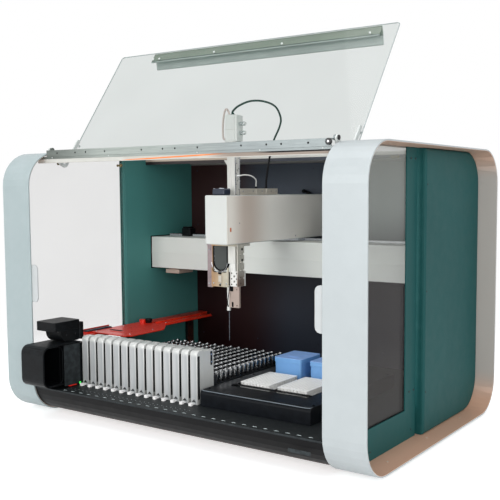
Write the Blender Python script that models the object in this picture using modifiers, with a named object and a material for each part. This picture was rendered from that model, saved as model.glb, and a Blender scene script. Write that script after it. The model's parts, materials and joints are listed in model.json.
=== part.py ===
"""Blood grouping analyzer: a bench instrument with a gantry, sample racks and a swing-up lid.

Metres, +Z up. X runs to the right along the front, Y runs to the back. The origin is under the
middle of the object's box, on the surface that it stands on. Names that end in _BACK are
distances behind the front faces of the two bands. The lid is drawn open.
"""

import math

import bmesh
import bpy
from mathutils import Vector

# Driving dimensions of the cabinet
WIDTH = 1.058
DEPTH = 0.712
BAND_HEIGHT = 0.671
BAND_WIDTH = 0.0994
BAND_WALL = 0.004
CORNER_RADIUS = 0.086
FOOT_HEIGHT = 0.006
SCANNER_REACH = 0.039
CLEARANCE = 0.0003
RUN_GAP = 0.0005
OVERRUN = 0.002
BITE = 0.0005

HALF_WIDTH = WIDTH / 2
FRONT = (SCANNER_REACH - DEPTH) / 2
BACK = FRONT + DEPTH
BAND_TOP = FOOT_HEIGHT + BAND_HEIGHT
BAND_INNER = HALF_WIDTH - BAND_WIDTH
LINER = BAND_WALL + CLEARANCE

# Side walls
WALL_OFFSET = 0.0349
SIDE_SHEET = 0.003
WINDOW_SHEET = 0.004
WINDOW_LAP = 0.010
SIDE_COVER_PROUD = 0.0164
SIDE_COVER_THICKNESS = 0.0254
SIDE_COVER_BACK = 0.3704
SIDE_COVER_ROUND = 0.007
RIGHT_POST_BACK = 0.306
RIGHT_POST_WIDTH = 0.054
LEFT_POST_BACK = 0.355
LEFT_POST_WIDTH = 0.0105

WALL_X = BAND_INNER + WALL_OFFSET
SIDE_COVER_OUTSIDE = WALL_X + SIDE_COVER_PROUD
SIDE_INSIDE = SIDE_COVER_OUTSIDE - SIDE_COVER_THICKNESS
LINER_HALF = SIDE_INSIDE - CLEARANCE
WINDOW_OUTSIDE = WALL_X - SIDE_SHEET - CLEARANCE

# Base and deck
DECK_TOP = 0.0797
DECK_THICKNESS = 0.004
DECK_SLOT_LENGTH = 0.011
DECK_SLOT_WIDTH = 0.003
DECK_SLOT_BACK = 0.017
RUNNER_WIDTH = 0.060
RUNNER_INSET = 0.105

BASE_TOP = DECK_TOP - DECK_THICKNESS - CLEARANCE
ON_DECK = DECK_TOP + CLEARANCE

# Rear cover, roof and inner back
COVER_SHEET = 0.003
ROOF_LENGTH = 0.256
ROOF_LIP_DROP = 0.018
ROOF_LIP_ROUND = 0.004
INNER_SHEET = 0.003
INNER_LOW_GAP = 0.022
INNER_STEP = 0.024
INNER_STEP_LOW = 0.385
INNER_STEP_HIGH = 0.415
VENT_WIDTH = 0.008
VENT_HEIGHT = 0.070
VENT_PITCH = 0.020
VENT_COUNT = 8
VENT_BOTTOM = 0.430
VENT_GROUP_X = 0.240
FAN_RADIUS = 0.038
FAN_HUB_RADIUS = 0.012
FAN_RING_WIDTH = 0.005
FAN_SPOKE_WIDTH = 0.006
FAN_X = -0.240
FAN_Z = 0.220

ROOF_LIP_BACK = DEPTH - ROOF_LENGTH
INNER_LOW_BACK = DEPTH - INNER_LOW_GAP
INNER_HIGH_BACK = INNER_LOW_BACK - INNER_STEP

# Mains inlet and switch
INLET_X = 0.300
INLET_Z = 0.140
INLET_FLANGE_WIDTH = 0.080
INLET_FLANGE_HEIGHT = 0.050
INLET_FLANGE = 0.0022
INLET_RIM = 0.004
INLET_DEPTH = 0.013
SOCKET_WIDTH = 0.025
SOCKET_HEIGHT = 0.018
SOCKET_DEPTH = 0.011
SOCKET_OFFSET = 0.018
PIN_WIDTH = 0.002
PIN_HEIGHT = 0.004
PIN_LENGTH = 0.008
PIN_SPREAD = 0.007
ROCKER_WIDTH = 0.024
ROCKER_HEIGHT = 0.0176
ROCKER_HALF_DEPTH = 0.0036
ROCKER_DISH = 0.0012
ROCKER_OFFSET = 0.019
ROCKER_INSET = 0.0062
ROCKER_WELL_GAP = 0.0014
ROCKER_TILT = 8.0

ROCKER_PIVOT_BACK = DEPTH - ROCKER_INSET

# Front rail and hinge
RAIL_FACE_BACK = 0.052
RAIL_FACE_BOTTOM = 0.6655
RAIL_TOP = 0.6815
RAIL_SHEET = 0.0025
RAIL_FLANGE = 0.020
RAIL_END_GAP = 0.0106
CHANNEL_HEIGHT = 0.006
CHANNEL_DEPTH = 0.017
CHANNEL_SETBACK = 0.002
RAIL_HOLE_RADIUS = 0.0024
RAIL_GROUP_INSET = 0.1306
RAIL_GROUP_X = -0.0069
RAIL_HOLE_OUTER = 0.0841
RAIL_HOLE_INNER = 0.0186
HINGE_BACK = 0.0705
HINGE_Z = 0.683
EAR_RADIUS = 0.0060
EAR_THICKNESS = 0.003
PIN_RADIUS = 0.0025
HINGE_HOLE_GAP = 0.0003

RAIL_HALF = BAND_INNER - RAIL_END_GAP
RAIL_GROUP_PITCH = RAIL_HALF - RAIL_GROUP_INSET

# Lid, drawn closed about its hinge axis and then turned open
LID_OPEN_ANGLE = 215.0
LID_LENGTH = 0.3425
LID_THICKNESS = 0.004
LID_SIDE_GAP = 0.0011
LID_CORNER = 0.008
LID_TOP_DROP = 0.033
LID_ARM_INSET = 0.0081
LID_ARM_THICKNESS = 0.004
LID_ARM_WIDTH = 0.009
LID_ARM_RISE = 0.004
LID_ARM_FOOT = 0.046
LID_ARM_BEND = 0.012
LID_ARM_BOSS = 0.0062
HANDLE_LEFT_INSET = 0.1216
HANDLE_RIGHT_INSET = 0.0471
HANDLE_SHEET = 0.003
HANDLE_FLANGE = 0.030
HANDLE_STAND = 0.011
HANDLE_FOLD = 0.008
HANDLE_FLARE = 0.032
HANDLE_FLARE_RISE = 0.022
CATCH_BOTTOM = 0.297
CATCH_HEIGHT = 0.0955
CATCH_SHOWN = 0.0198
CATCH_WIDTH = 0.040
CATCH_THICKNESS = 0.0035
CATCH_ROUND = 0.012
CATCH_DOT_RADIUS = 0.004

LID_ARM_X = BAND_INNER - LID_ARM_INSET
HANDLE_LEFT = HANDLE_LEFT_INSET - BAND_INNER
HANDLE_RIGHT = BAND_INNER - HANDLE_RIGHT_INSET
CATCH_INNER_X = BAND_INNER - CATCH_SHOWN

# Beam across the chamber and its guide
BEAM_GAP = 0.010
BEAM_DEPTH = 0.179
BEAM_BOTTOM = 0.3476
BEAM_HEIGHT = 0.0921
BEAM_CREASE = 0.004
BEAM_SHEET = 0.006
BEAM_RETURN = 0.040
GUIDE_SETBACK = 0.077
GUIDE_WIDTH = 0.012
GUIDE_HEIGHT = 0.006
STOP_INSET = 0.0602
STOP_WIDTH = 0.032
STOP_HEIGHT = 0.024
STOP_DEPTH = 0.026

BEAM_TOP = BEAM_BOTTOM + BEAM_HEIGHT
BEAM_BACK = INNER_HIGH_BACK - BEAM_GAP - BEAM_DEPTH
GUIDE_BACK = BEAM_BACK + GUIDE_SETBACK
STOP_LEFT = STOP_INSET - LINER_HALF

# Arm, with its trolley, plate and motor
ARM_LEFT = -0.022
ARM_WIDTH = 0.067
ARM_BACK = 0.198
ARM_END_GAP = 0.005
ARM_HEIGHT = 0.1195
ARM_WALL = 0.0025
ARM_LIFT = 0.001
ARM_ROUND = 0.003
TROLLEY_LENGTH = 0.080
TROLLEY_HEIGHT = 0.060
MOTOR_LEFT = -0.004
MOTOR_WIDTH = 0.036
MOTOR_SETBACK = 0.006
MOTOR_LENGTH = 0.030
MOTOR_HEIGHT = 0.016
MOTOR_ROUND = 0.003
PLATE_LEFT = 0.0335
PLATE_FOOT = 0.0100
PLATE_SETBACK = 0.067
PLATE_LENGTH = 0.162
PLATE_HEIGHT = 0.016
PLATE_SHEET = 0.0015
PLATE_STANDOFF = 0.0030
SOCKET_RADIUS = 0.0030
CABLE_SOCKET_SETBACK = 0.111
LOOP_SOCKET_SETBACK = 0.066

ARM_BOTTOM = BEAM_TOP + CLEARANCE + GUIDE_HEIGHT + ARM_LIFT
ARM_TOP = ARM_BOTTOM + ARM_HEIGHT
ARM_RIGHT = ARM_LEFT + ARM_WIDTH
ON_ARM = ARM_TOP + CLEARANCE
ARM_LENGTH = INNER_HIGH_BACK - ARM_END_GAP - ARM_BACK
TROLLEY_BACK = GUIDE_BACK + (GUIDE_WIDTH - TROLLEY_LENGTH) / 2
MOTOR_BACK = ARM_BACK + MOTOR_SETBACK
PLATE_BACK = ARM_BACK + PLATE_SETBACK
CABLE_SOCKET_BACK = PLATE_BACK + CABLE_SOCKET_SETBACK
LOOP_SOCKET_BACK = PLATE_BACK + LOOP_SOCKET_SETBACK

# Carriage with the mast
CARRIAGE_TRAVEL = 0.150
SLOT_GAP = 0.003
MAST_LEFT = 0.0057
MAST_SIDE = 0.0234
MAST_SETBACK = 0.054
MAST_DEEP = 0.025
MAST_BOTTOM = 0.397
MAST_LENGTH = 0.299
MAST_WALL = 0.002
MAST_ROUND = 0.0015
MAST_HOLE_RADIUS = 0.0026
MAST_HOLE_DROP = 0.0684
MAST_HOLE_PITCH = 0.0256
GUSSET_REACH = 0.0182
GUSSET_HEIGHT = 0.025
GUSSET_DROP = 0.043
GUSSET_SHEET = 0.003
TOP_BLOCK_LEFT = 0.003
TOP_BLOCK_WIDTH = 0.0245
TOP_BLOCK_HEIGHT = 0.0662
TOP_BLOCK_LAP = 0.002
TOP_STRIP_GAP = 0.0035
TOP_STRIP_WIDTH = 0.006
TOP_GROOVE = 0.0012
TOP_GROOVE_DROP = 0.036
FITTING_RADIUS = 0.0042
FITTING_REACH = 0.0176
FITTING_PITCH = 0.022

MAST_RIGHT = MAST_LEFT + MAST_SIDE
MAST_BACK = ARM_BACK + MAST_SETBACK
MAST_TOP = MAST_BOTTOM + MAST_LENGTH
TOP_BLOCK_BOTTOM = MAST_TOP + CLEARANCE
TOP_BLOCK_TOP = TOP_BLOCK_BOTTOM + TOP_BLOCK_HEIGHT

# Bracket under the arm
YOKE_THICKNESS = 0.0055
YOKE_LEFT = -0.058
YOKE_RIGHT = 0.0395
YOKE_LAP = 0.0035
YOKE_LENGTH = 0.0515
HANGER_WIDTH = 0.0215
HANGER_HEIGHT = 0.080
LEFT_PLATE_WIDTH = 0.016
LEFT_PLATE_THICKNESS = 0.006
LEFT_PLATE_BOTTOM = 0.335
FACE_PLATE_LEFT = -0.048
FACE_PLATE_WIDTH = 0.057
FACE_PLATE_BOTTOM = 0.338
FACE_PLATE_HEIGHT = 0.048
FACE_PLATE_SHEET = 0.0035
FACE_NOTCH_DEPTH = 0.012
SIDE_PLATE_BOTTOM = 0.341
SIDE_PLATE_SHEET = 0.003
SIDE_HOLE_RADIUS = 0.0032
SIDE_HOLE_PITCH = 0.016
SIDE_HOLE_COLUMNS = 3
SIDE_HOLE_ROWS = 4
BELT_LEFT = -0.040
BELT_WIDTH = 0.045
BELT_BOTTOM = 0.3765
BELT_THICKNESS = 0.0030
BELT_DEPTH = 0.009
BELT_GAP = 0.0008

YOKE_TOP = ARM_BOTTOM - 2 * RUN_GAP
YOKE_BOTTOM = YOKE_TOP - YOKE_THICKNESS
YOKE_FRONT_BACK = MAST_BACK - YOKE_LAP

# Needle head under the mast
HOLDER_LEFT = 0.0098
HOLDER_RIGHT = 0.0358
HOLDER_BOTTOM = 0.340
HOLDER_HEIGHT = 0.038
HOLDER_SETBACK = 0.0035
HOLDER_DEPTH = 0.030
HOLDER_BORE_RADIUS = 0.003
ROD_INSET = 0.0006
ROD_LENGTH = 0.062
GUIDE_PLATE_LEFT = -0.004
GUIDE_PLATE_RIGHT = 0.033
GUIDE_PLATE_BOTTOM = 0.286
GUIDE_PLATE_SHEET = 0.006
GUIDE_PLATE_SETBACK = 0.006
NEEDLE_X = 0.0
COLLAR_RADIUS = 0.0036
COLLAR_HEIGHT = 0.008
NEEDLE_RADIUS = 0.0011
NEEDLE_LENGTH = 0.079
NEEDLE_POINT = 0.006

HOLDER_BACK = MAST_BACK + HOLDER_SETBACK

# Cable and tube above the arm
CABLE_RADIUS = 0.0021
LOOP_RADIUS = 0.0015
CABLE_ROUTE = (
    (0.0200, -0.0775, 0.7631),
    (0.0200, -0.0770, 0.7710),
    (0.0225, -0.0560, 0.7860),
    (0.0270, -0.0120, 0.8010),
    (0.0300, 0.0420, 0.8045),
    (0.0325, 0.0900, 0.7950),
    (0.0345, 0.1115, 0.7680),
    (0.0352, 0.1045, 0.7430),
    (0.0358, 0.0770, 0.7070),
    (0.0365, 0.0580, 0.6665),
    (0.0368, 0.0440, 0.6200),
    (0.0368, 0.0397, 0.5960),
    (0.0368, 0.0395, 0.5834),
)
LOOP_ROUTE = (
    (0.0297, -0.0720, 0.6140),
    (0.0350, -0.0718, 0.6142),
    (0.0420, -0.0600, 0.6160),
    (0.0440, -0.0360, 0.6140),
    (0.0425, -0.0140, 0.6050),
    (0.0372, -0.0058, 0.5930),
    (0.0368, -0.0055, 0.5834),
)

# Racks
RACK_PITCH = 0.02785
RACK_WIDTH = 0.021
RACK_INSET = 0.113
RACK_BACK = 0.086
RACK_LENGTH = 0.3975
RACK_HEIGHT = 0.1265
RACK_BASE = 0.012
RACK_BAR = 0.004
RACK_LOOP = 0.021
RACK_LOOP_TOP = 0.006
RACK_BLOCK = 0.037
RACK_BLOCK_DROP = 0.004
RACK_TRAY_HEIGHT = 0.050
RACK_STEP_LENGTH = 0.012
RACK_STEP_HEIGHT = 0.059
RACK_ROUND = 0.010
RACK_LOOP_ROUND = 0.005
RACK_TAIL = 0.020
TUBE_PITCH = 0.0185
TUBE_RADIUS = 0.0068
TUBE_RISE = 0.0125
TUBE_SIDES = 6

RACK_LEFT = RACK_INSET - LINER_HALF
RACK_TRAY_START = RACK_BAR + RACK_LOOP + RACK_BLOCK + RACK_STEP_LENGTH
TUBE_COUNT = int((RACK_LENGTH - RACK_TRAY_START - RACK_TAIL) / TUBE_PITCH)
DECK_SLOT_COUNT = int((BAND_INNER - RACK_LEFT) / RACK_PITCH)

# Plate stage and its load
STAGE_RIGHT_GAP = 0.1052
STAGE_WIDTH = 0.3005
STAGE_HEIGHT = 0.0375
STAGE_ROUND = 0.009
POCKET_INSET = 0.0325
POCKET_WIDTH = 0.213
POCKET_SETBACK = 0.073
POCKET_LENGTH = 0.286
POCKET_DEPTH = 0.0075
MICROPLATE_INSET = 0.009
MICROPLATE_PITCH = 0.105
MICROPLATE_WIDTH = 0.0855
MICROPLATE_LENGTH = 0.1278
MICROPLATE_HEIGHT = 0.01435
MICROPLATE_SETBACK = 0.024
MICROPLATE_SKIRT = 0.0045
MICROPLATE_LEDGE = 0.0020
MICROPLATE_CHAMFER = 0.006
MICROPLATE_RIM = 0.0015
BOX_INSET = 0.0116
BOX_PITCH = 0.1044
BOX_WIDTH = 0.081
BOX_LENGTH = 0.096
BOX_HEIGHT = 0.0497
BOX_SETBACK = 0.166
BOX_ROUND = 0.006
BOX_LID_HEIGHT = 0.012
BOX_LID_LAP = 0.0015
BOX_EDGE = 0.002

STAGE_LEFT = LINER_HALF - STAGE_RIGHT_GAP - STAGE_WIDTH
RACK_COUNT = int((STAGE_LEFT - RACK_LEFT) / RACK_PITCH)
POCKET_LEFT = STAGE_LEFT + POCKET_INSET
POCKET_BACK = RACK_BACK + POCKET_SETBACK
PLATE_X = (POCKET_LEFT + MICROPLATE_INSET, POCKET_LEFT + MICROPLATE_INSET + MICROPLATE_PITCH)
BOX_X = (POCKET_LEFT + BOX_INSET, POCKET_LEFT + BOX_INSET + BOX_PITCH)
MICROPLATE_BACK = POCKET_BACK + MICROPLATE_SETBACK
BOX_BACK = POCKET_BACK + BOX_SETBACK

# Scanner
SCANNER_INSET = 0.0287
SCANNER_WIDTH = 0.081
SCANNER_LENGTH = 0.121
SCANNER_BOTTOM = 0.090
SCANNER_HEIGHT = 0.103
SCANNER_WALL = 0.003
SCANNER_ROUND = 0.020
SCANNER_CAVITY_LENGTH = 0.066
SCANNER_RECESS = 0.0150
SCANNER_FOOT_INSET = 0.014
HEAD_INSET = 0.0015
HEAD_WIDTH = 0.070
HEAD_BACK = 0.008
HEAD_LENGTH = 0.086
NECK_HEIGHT = 0.031
HEAD_HEIGHT = 0.024
HEAD_ROUND = 0.020
HEAD_EDGE = 0.002
NECK_RADIUS = 0.024
NECK_BLOCK = 0.018

SCANNER_LEFT = SCANNER_INSET - LINER_HALF
HEAD_LEFT = SCANNER_LEFT + HEAD_INSET
HEAD_BOTTOM = SCANNER_BOTTOM + SCANNER_HEIGHT + NECK_HEIGHT

# Red transport along the left wall
RED_TOP = 0.193
RED_SHEET = 0.003
RED_RAIL_INSET = 0.0072
RED_RAIL_WIDTH = 0.036
RED_RAIL_HEIGHT = 0.008
RED_RAIL_BACK = 0.150
RED_RAIL_GAP = 0.004
RED_LEG_WIDTH = 0.008
RED_LEG_LENGTH = 0.030
RED_LEG_SETBACKS = (0.180, 0.066)
RED_STRIP_SETBACK = 0.037
RED_STRIP_LENGTH = 0.094
RED_LAP = 0.019
RED_WIDTH = 0.141
RED_BACK = 0.200
RED_LENGTH = 0.202
RED_TAPER = 0.062
RED_NOTCH = 0.011
RED_BAR_OFFSET = 0.048
RED_BAR_WIDTH = 0.046
RED_BAR_GAP = 0.074
RED_LIP_HEIGHT = 0.012
RED_KNOB_RADIUS = 0.009
RED_KNOB_HEIGHT = 0.011
RED_SLOT_WIDTH = 0.050
RED_SLOT_LENGTH = 0.007
RED_CORNER = 0.004

RED_RAIL_LEFT = RED_RAIL_INSET - LINER_HALF
RED_RAIL_LENGTH = INNER_LOW_BACK - RED_RAIL_GAP - RED_RAIL_BACK
RED_LEG_BACKS = (
    RED_RAIL_BACK + RED_LEG_SETBACKS[0],
    RED_RAIL_BACK + RED_RAIL_LENGTH - RED_LEG_SETBACKS[1],
)
RED_STRIP_BACK = RED_RAIL_BACK + RED_STRIP_SETBACK
RED_LEFT = RED_RAIL_LEFT + RED_LAP
RED_RIGHT = RED_LEFT + RED_WIDTH
RED_BAR_LEFT = RED_LEFT + RED_BAR_OFFSET
RED_BAR_RIGHT = RED_BAR_LEFT + RED_BAR_WIDTH
RED_BAR_LENGTH = INNER_LOW_BACK - RED_BAR_GAP - RED_BACK - RED_LENGTH

# Facets
LOOP_STEPS = 8
ROUND_STEPS = 3
ROUND_SIDES = 10
CABLE_STEPS = 2
TUBE_RESOLUTION = 2
MERGE = 0.00001

# Colours, roughness, metallic value and alpha of each material
PAINTS = {
    "band_silver": ((0.62, 0.67, 0.70), 0.42, 0.35, 1.0),
    "cabinet_green": ((0.045, 0.115, 0.110), 0.50, 0.0, 1.0),
    "window_clear": ((0.80, 0.84, 0.84), 0.08, 0.0, 0.30),
    "base_black": ((0.012, 0.012, 0.013), 0.35, 0.0, 1.0),
    "deck_black": ((0.020, 0.024, 0.028), 0.45, 0.2, 1.0),
    "inner_dark": ((0.030, 0.034, 0.040), 0.40, 0.2, 1.0),
    "cover_white": ((0.72, 0.73, 0.72), 0.45, 0.0, 1.0),
    "aluminium": ((0.62, 0.63, 0.64), 0.34, 0.9, 1.0),
    "rubber_black": ((0.015, 0.015, 0.015), 0.85, 0.0, 1.0),
    "inlet_black": ((0.020, 0.020, 0.020), 0.45, 0.0, 1.0),
    "arm_white": ((0.80, 0.79, 0.77), 0.42, 0.0, 1.0),
    "steel": ((0.55, 0.56, 0.58), 0.28, 1.0, 1.0),
    "motor_dark": ((0.050, 0.060, 0.085), 0.45, 0.4, 1.0),
    "plate_beige": ((0.58, 0.55, 0.50), 0.45, 0.3, 1.0),
    "bracket_bronze": ((0.30, 0.20, 0.12), 0.40, 0.7, 1.0),
    "mast_white": ((0.82, 0.81, 0.78), 0.40, 0.0, 1.0),
    "cable_black": ((0.018, 0.018, 0.020), 0.55, 0.0, 1.0),
    "tube_white": ((0.82, 0.82, 0.80), 0.35, 0.0, 1.0),
    "rack_grey": ((0.64, 0.64, 0.62), 0.40, 0.0, 1.0),
    "stage_black": ((0.016, 0.018, 0.024), 0.38, 0.0, 1.0),
    "plate_white": ((0.84, 0.84, 0.82), 0.35, 0.0, 1.0),
    "box_blue": ((0.10, 0.32, 0.66), 0.40, 0.0, 1.0),
    "scanner_black": ((0.018, 0.018, 0.020), 0.42, 0.0, 1.0),
    "transport_red": ((0.62, 0.035, 0.025), 0.40, 0.0, 1.0),
    "lid_clear": ((0.78, 0.84, 0.83), 0.06, 0.0, 0.25),
    "handle_olive": ((0.20, 0.20, 0.17), 0.40, 0.6, 1.0),
    "catch_grey": ((0.42, 0.44, 0.45), 0.45, 0.3, 1.0),
}


# Scene and materials


def clear_scene():
    for item in list(bpy.data.objects):
        bpy.data.objects.remove(item, do_unlink=True)


def new_collection(name):
    group = bpy.data.collections.new(name)
    bpy.context.scene.collection.children.link(group)
    return group


def paint(name):
    """Return the Principled material of this name, made once."""
    found = bpy.data.materials.get(name)
    if found:
        return found
    colour, roughness, metallic, alpha = PAINTS[name]
    made = bpy.data.materials.new(name)
    made.use_nodes = True
    shader = made.node_tree.nodes["Principled BSDF"]
    shader.inputs["Base Color"].default_value = (*colour, 1.0)
    shader.inputs["Roughness"].default_value = roughness
    shader.inputs["Metallic"].default_value = metallic
    shader.inputs["Alpha"].default_value = alpha
    made.diffuse_color = (*colour, alpha)
    return made


def add_object(name, mesh, finish, location=(0, 0, 0)):
    item = bpy.data.objects.new(name, mesh)
    item.location = location
    PARTS.objects.link(item)
    if not mesh.materials:
        mesh.materials.append(paint(finish))
    return item


# Outlines in a plane


def rounded(corners, steps=ROUND_STEPS):
    """Turn (u, v, radius) corners into points, with an arc at each corner that has a radius."""
    points = []
    for index, (u, v, radius) in enumerate(corners):
        here = Vector((u, v))
        if radius == 0:
            points.append(here)
            continue
        before = Vector(corners[index - 1][:2])
        after = Vector(corners[(index + 1) % len(corners)][:2])
        to_before = (before - here).normalized()
        to_after = (after - here).normalized()
        half_angle = to_before.angle(to_after) / 2
        centre = here + (to_before + to_after).normalized() * (radius / math.sin(half_angle))
        start = here + to_before * (radius / math.tan(half_angle)) - centre
        end = here + to_after * (radius / math.tan(half_angle)) - centre
        first = math.atan2(start.y, start.x)
        turn = (math.atan2(end.y, end.x) - first + math.pi) % (2 * math.pi) - math.pi
        for step in range(steps + 1):
            angle = first + turn * step / steps
            points.append(centre + Vector((math.cos(angle), math.sin(angle))) * radius)
    return points


def rectangle(low_u, high_u, low_v, high_v, radius=0, steps=ROUND_STEPS):
    corners = [
        (low_u, low_v, radius),
        (high_u, low_v, radius),
        (high_u, high_v, radius),
        (low_u, high_v, radius),
    ]
    return rounded(corners, steps)


def circle(centre_u, centre_v, radius, sides=ROUND_SIDES):
    turns = [2 * math.pi * (step + 0.5) / sides for step in range(sides)]
    return [Vector((centre_u + radius * math.cos(a), centre_v + radius * math.sin(a))) for a in turns]


def sheet(path, thickness):
    """Close a path into a bent sheet; a positive thickness lies on the path's left."""
    other = []
    for index, point in enumerate(path):
        normals = []
        if index > 0:
            along = (point - path[index - 1]).normalized()
            normals.append(Vector((-along.y, along.x)))
        if index < len(path) - 1:
            along = (path[index + 1] - point).normalized()
            normals.append(Vector((-along.y, along.x)))
        middle = sum(normals, Vector((0, 0))).normalized()
        other.append(point + middle * (thickness / middle.dot(normals[0])))
    return path + other[::-1]


def front_edge(inset, low, high):
    """Points of the bands' loop, moved in by inset, up its front from one height to another."""
    radius = CORNER_RADIUS - inset
    centre_y = FRONT + CORNER_RADIUS
    turns = [math.pi / 2 * step / LOOP_STEPS for step in range(LOOP_STEPS + 1)]
    lower = [
        Vector((centre_y - radius * math.cos(a), FOOT_HEIGHT + CORNER_RADIUS - radius * math.sin(a)))
        for a in reversed(turns)
    ]
    upper = [
        Vector((centre_y - radius * math.cos(a), BAND_TOP - CORNER_RADIUS + radius * math.sin(a)))
        for a in turns
    ]
    loop = lower + upper
    inside = [point for point in loop if low + MERGE < point.y < high - MERGE]
    return [point_at_height(loop, low), *inside, point_at_height(loop, high)]


def point_at_height(path, height):
    """The point of a rising path at this height, kept to its ends."""
    for start, end in zip(path, path[1:]):
        if start.y <= height <= end.y and end.y > start.y:
            return start.lerp(end, (height - start.y) / (end.y - start.y))
    return (path[0] if height < path[0].y else path[-1]).copy()


def roof_height(inset, back):
    """How high a piece may reach under the loop's rear corner, moved in by inset."""
    flat = math.cos(math.pi / 4 / LOOP_STEPS)
    radius = (CORNER_RADIUS - inset) * flat
    past_centre = max(back - (DEPTH - CORNER_RADIUS), 0)
    return BAND_TOP - CORNER_RADIUS + math.sqrt(radius ** 2 - past_centre ** 2)


def to_back(points):
    """Mirror loop points from the front of the cabinet to its back, in reverse order."""
    return [Vector((FRONT + BACK - point.x, point.y)) for point in reversed(points)]


# Solids

PLANES = {
    "YZ": (math.pi / 2, 0, math.pi / 2),
    "XZ": (math.pi / 2, 0, 0),
    "XY": (0, 0, 0),
}


def prism(name, outline, plane, low, high, finish, holes=(), location=(0, 0, 0)):
    """Extrude a flat outline, with holes, across its plane from low to high."""
    curve = bpy.data.curves.new(name, "CURVE")
    curve.dimensions = "2D"
    curve.fill_mode = "BOTH"
    curve.extrude = (high - low) / 2
    curve.resolution_u = 1
    for loop in (outline, *holes):
        spline = curve.splines.new("POLY")
        spline.points.add(len(loop) - 1)
        for spot, point in zip(spline.points, loop):
            spot.co = (point[0], point[1], 0, 1)
        spline.use_cyclic_u = True
    middle = (low + high) / 2
    offset = {"YZ": (middle, 0, 0), "XZ": (0, middle, 0), "XY": (0, 0, middle)}[plane]
    drawn = bpy.data.objects.new(name, curve)
    drawn.rotation_euler = PLANES[plane]
    drawn.location = Vector(offset) + Vector(location)
    PARTS.objects.link(drawn)
    bpy.context.view_layer.update()
    mesh = bpy.data.meshes.new_from_object(drawn.evaluated_get(bpy.context.evaluated_depsgraph_get()))
    placement = drawn.matrix_world.copy()
    bpy.data.objects.remove(drawn, do_unlink=True)
    shape = bmesh.new()
    shape.from_mesh(mesh)
    bmesh.ops.remove_doubles(shape, verts=shape.verts, dist=MERGE)
    bmesh.ops.recalc_face_normals(shape, faces=shape.faces)
    shape.to_mesh(mesh)
    shape.free()
    mesh.name = name
    solid = add_object(name, mesh, finish)
    solid.matrix_world = placement
    return solid


def cubes(name, spans, finish):
    """One mesh of boxes, each from its low corner to its high corner."""
    shape = bmesh.new()
    origin = (Vector(spans[0][0]) + Vector(spans[0][1])) / 2
    for low, high in spans:
        size = Vector(high) - Vector(low)
        centre = (Vector(low) + Vector(high)) / 2 - origin
        made = bmesh.ops.create_cube(shape, size=1)["verts"]
        bmesh.ops.scale(shape, vec=size, verts=made)
        bmesh.ops.translate(shape, vec=centre, verts=made)
    mesh = bpy.data.meshes.new(name)
    shape.to_mesh(mesh)
    shape.free()
    return add_object(name, mesh, finish, origin)


def box(name, low, high, finish):
    return cubes(name, [(low, high)], finish)


def rods(name, spans, radius, finish, sides=ROUND_SIDES):
    """One mesh of round rods, each from its start to its end."""
    shape = bmesh.new()
    origin = Vector(spans[0][0])
    for start, end in spans:
        along = Vector(end) - Vector(start)
        made = bmesh.ops.create_cone(
            shape, cap_ends=True, segments=sides, radius1=radius, radius2=radius, depth=along.length
        )["verts"]
        turn = Vector((0, 0, 1)).rotation_difference(along)
        bmesh.ops.rotate(shape, cent=(0, 0, 0), matrix=turn.to_matrix(), verts=made)
        bmesh.ops.translate(shape, vec=Vector(start) + along / 2 - origin, verts=made)
    mesh = bpy.data.meshes.new(name)
    shape.to_mesh(mesh)
    shape.free()
    return add_object(name, mesh, finish, origin)


def turned(name, profile, location, finish, sides=ROUND_SIDES):
    """Turn (radius, height) points, given from top to bottom, about Z."""
    mesh = bpy.data.meshes.new(name)
    points = [(radius, 0, height) for radius, height in profile]
    mesh.from_pydata(points, [(step, step + 1) for step in range(len(points) - 1)], [])
    item = add_object(name, mesh, finish, location)
    screw = item.modifiers.new("turn", "SCREW")
    screw.steps = sides
    screw.render_steps = sides
    screw.use_merge_vertices = True
    screw.merge_threshold = MERGE
    return item


def tube(name, route, radius, finish):
    """A round tube along a smooth curve through the route's points."""
    spots = [Vector(point) for point in route]
    ends = [spots[0] * 2 - spots[1], *spots, spots[-1] * 2 - spots[-2]]
    points = []
    for index in range(1, len(ends) - 2):
        for step in range(CABLE_STEPS):
            points.append(smooth_point(ends[index - 1:index + 3], step / CABLE_STEPS))
    points.append(spots[-1])
    curve = bpy.data.curves.new(name, "CURVE")
    curve.dimensions = "3D"
    curve.resolution_u = 1
    curve.bevel_depth = radius
    curve.bevel_resolution = TUBE_RESOLUTION
    curve.use_fill_caps = True
    spline = curve.splines.new("POLY")
    spline.points.add(len(points) - 1)
    for spot, point in zip(spline.points, points):
        spot.co = (*(point - spots[0]), 1)
    curve.materials.append(paint(finish))
    item = bpy.data.objects.new(name, curve)
    item.location = spots[0]
    PARTS.objects.link(item)
    return item


def smooth_point(spots, share):
    """A point between the middle two of four spots, on a curve through all of them."""
    before, start, end, after = spots
    return (
        start * 2
        + (end - before) * share
        + (before * 2 - start * 5 + end * 4 - after) * share ** 2
        + (start * 3 - before - end * 3 + after) * share ** 3
    ) / 2


def soften(item, width, segments=1):
    """Round the item's sharp edges."""
    bevel = item.modifiers.new("soften", "BEVEL")
    bevel.width = width
    bevel.segments = segments
    bevel.limit_method = "ANGLE"
    bevel.angle_limit = math.radians(50)


def combine(item, tools, operation):
    """Cut the tools from the item, or join them to it, and put them with the cutters."""
    for tool in tools:
        change = item.modifiers.new(operation.lower(), "BOOLEAN")
        change.operation = operation
        change.solver = "EXACT"
        change.object = tool
        PARTS.objects.unlink(tool)
        CUTTERS.objects.link(tool)
        tool.hide_render = True
        tool.display_type = "WIRE"
        tool.parent = item
        bpy.context.view_layer.update()
        tool.matrix_parent_inverse = item.matrix_world.inverted()


def cut(item, *tools):
    combine(item, tools, "DIFFERENCE")


def join(item, *tools):
    combine(item, tools, "UNION")


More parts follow.
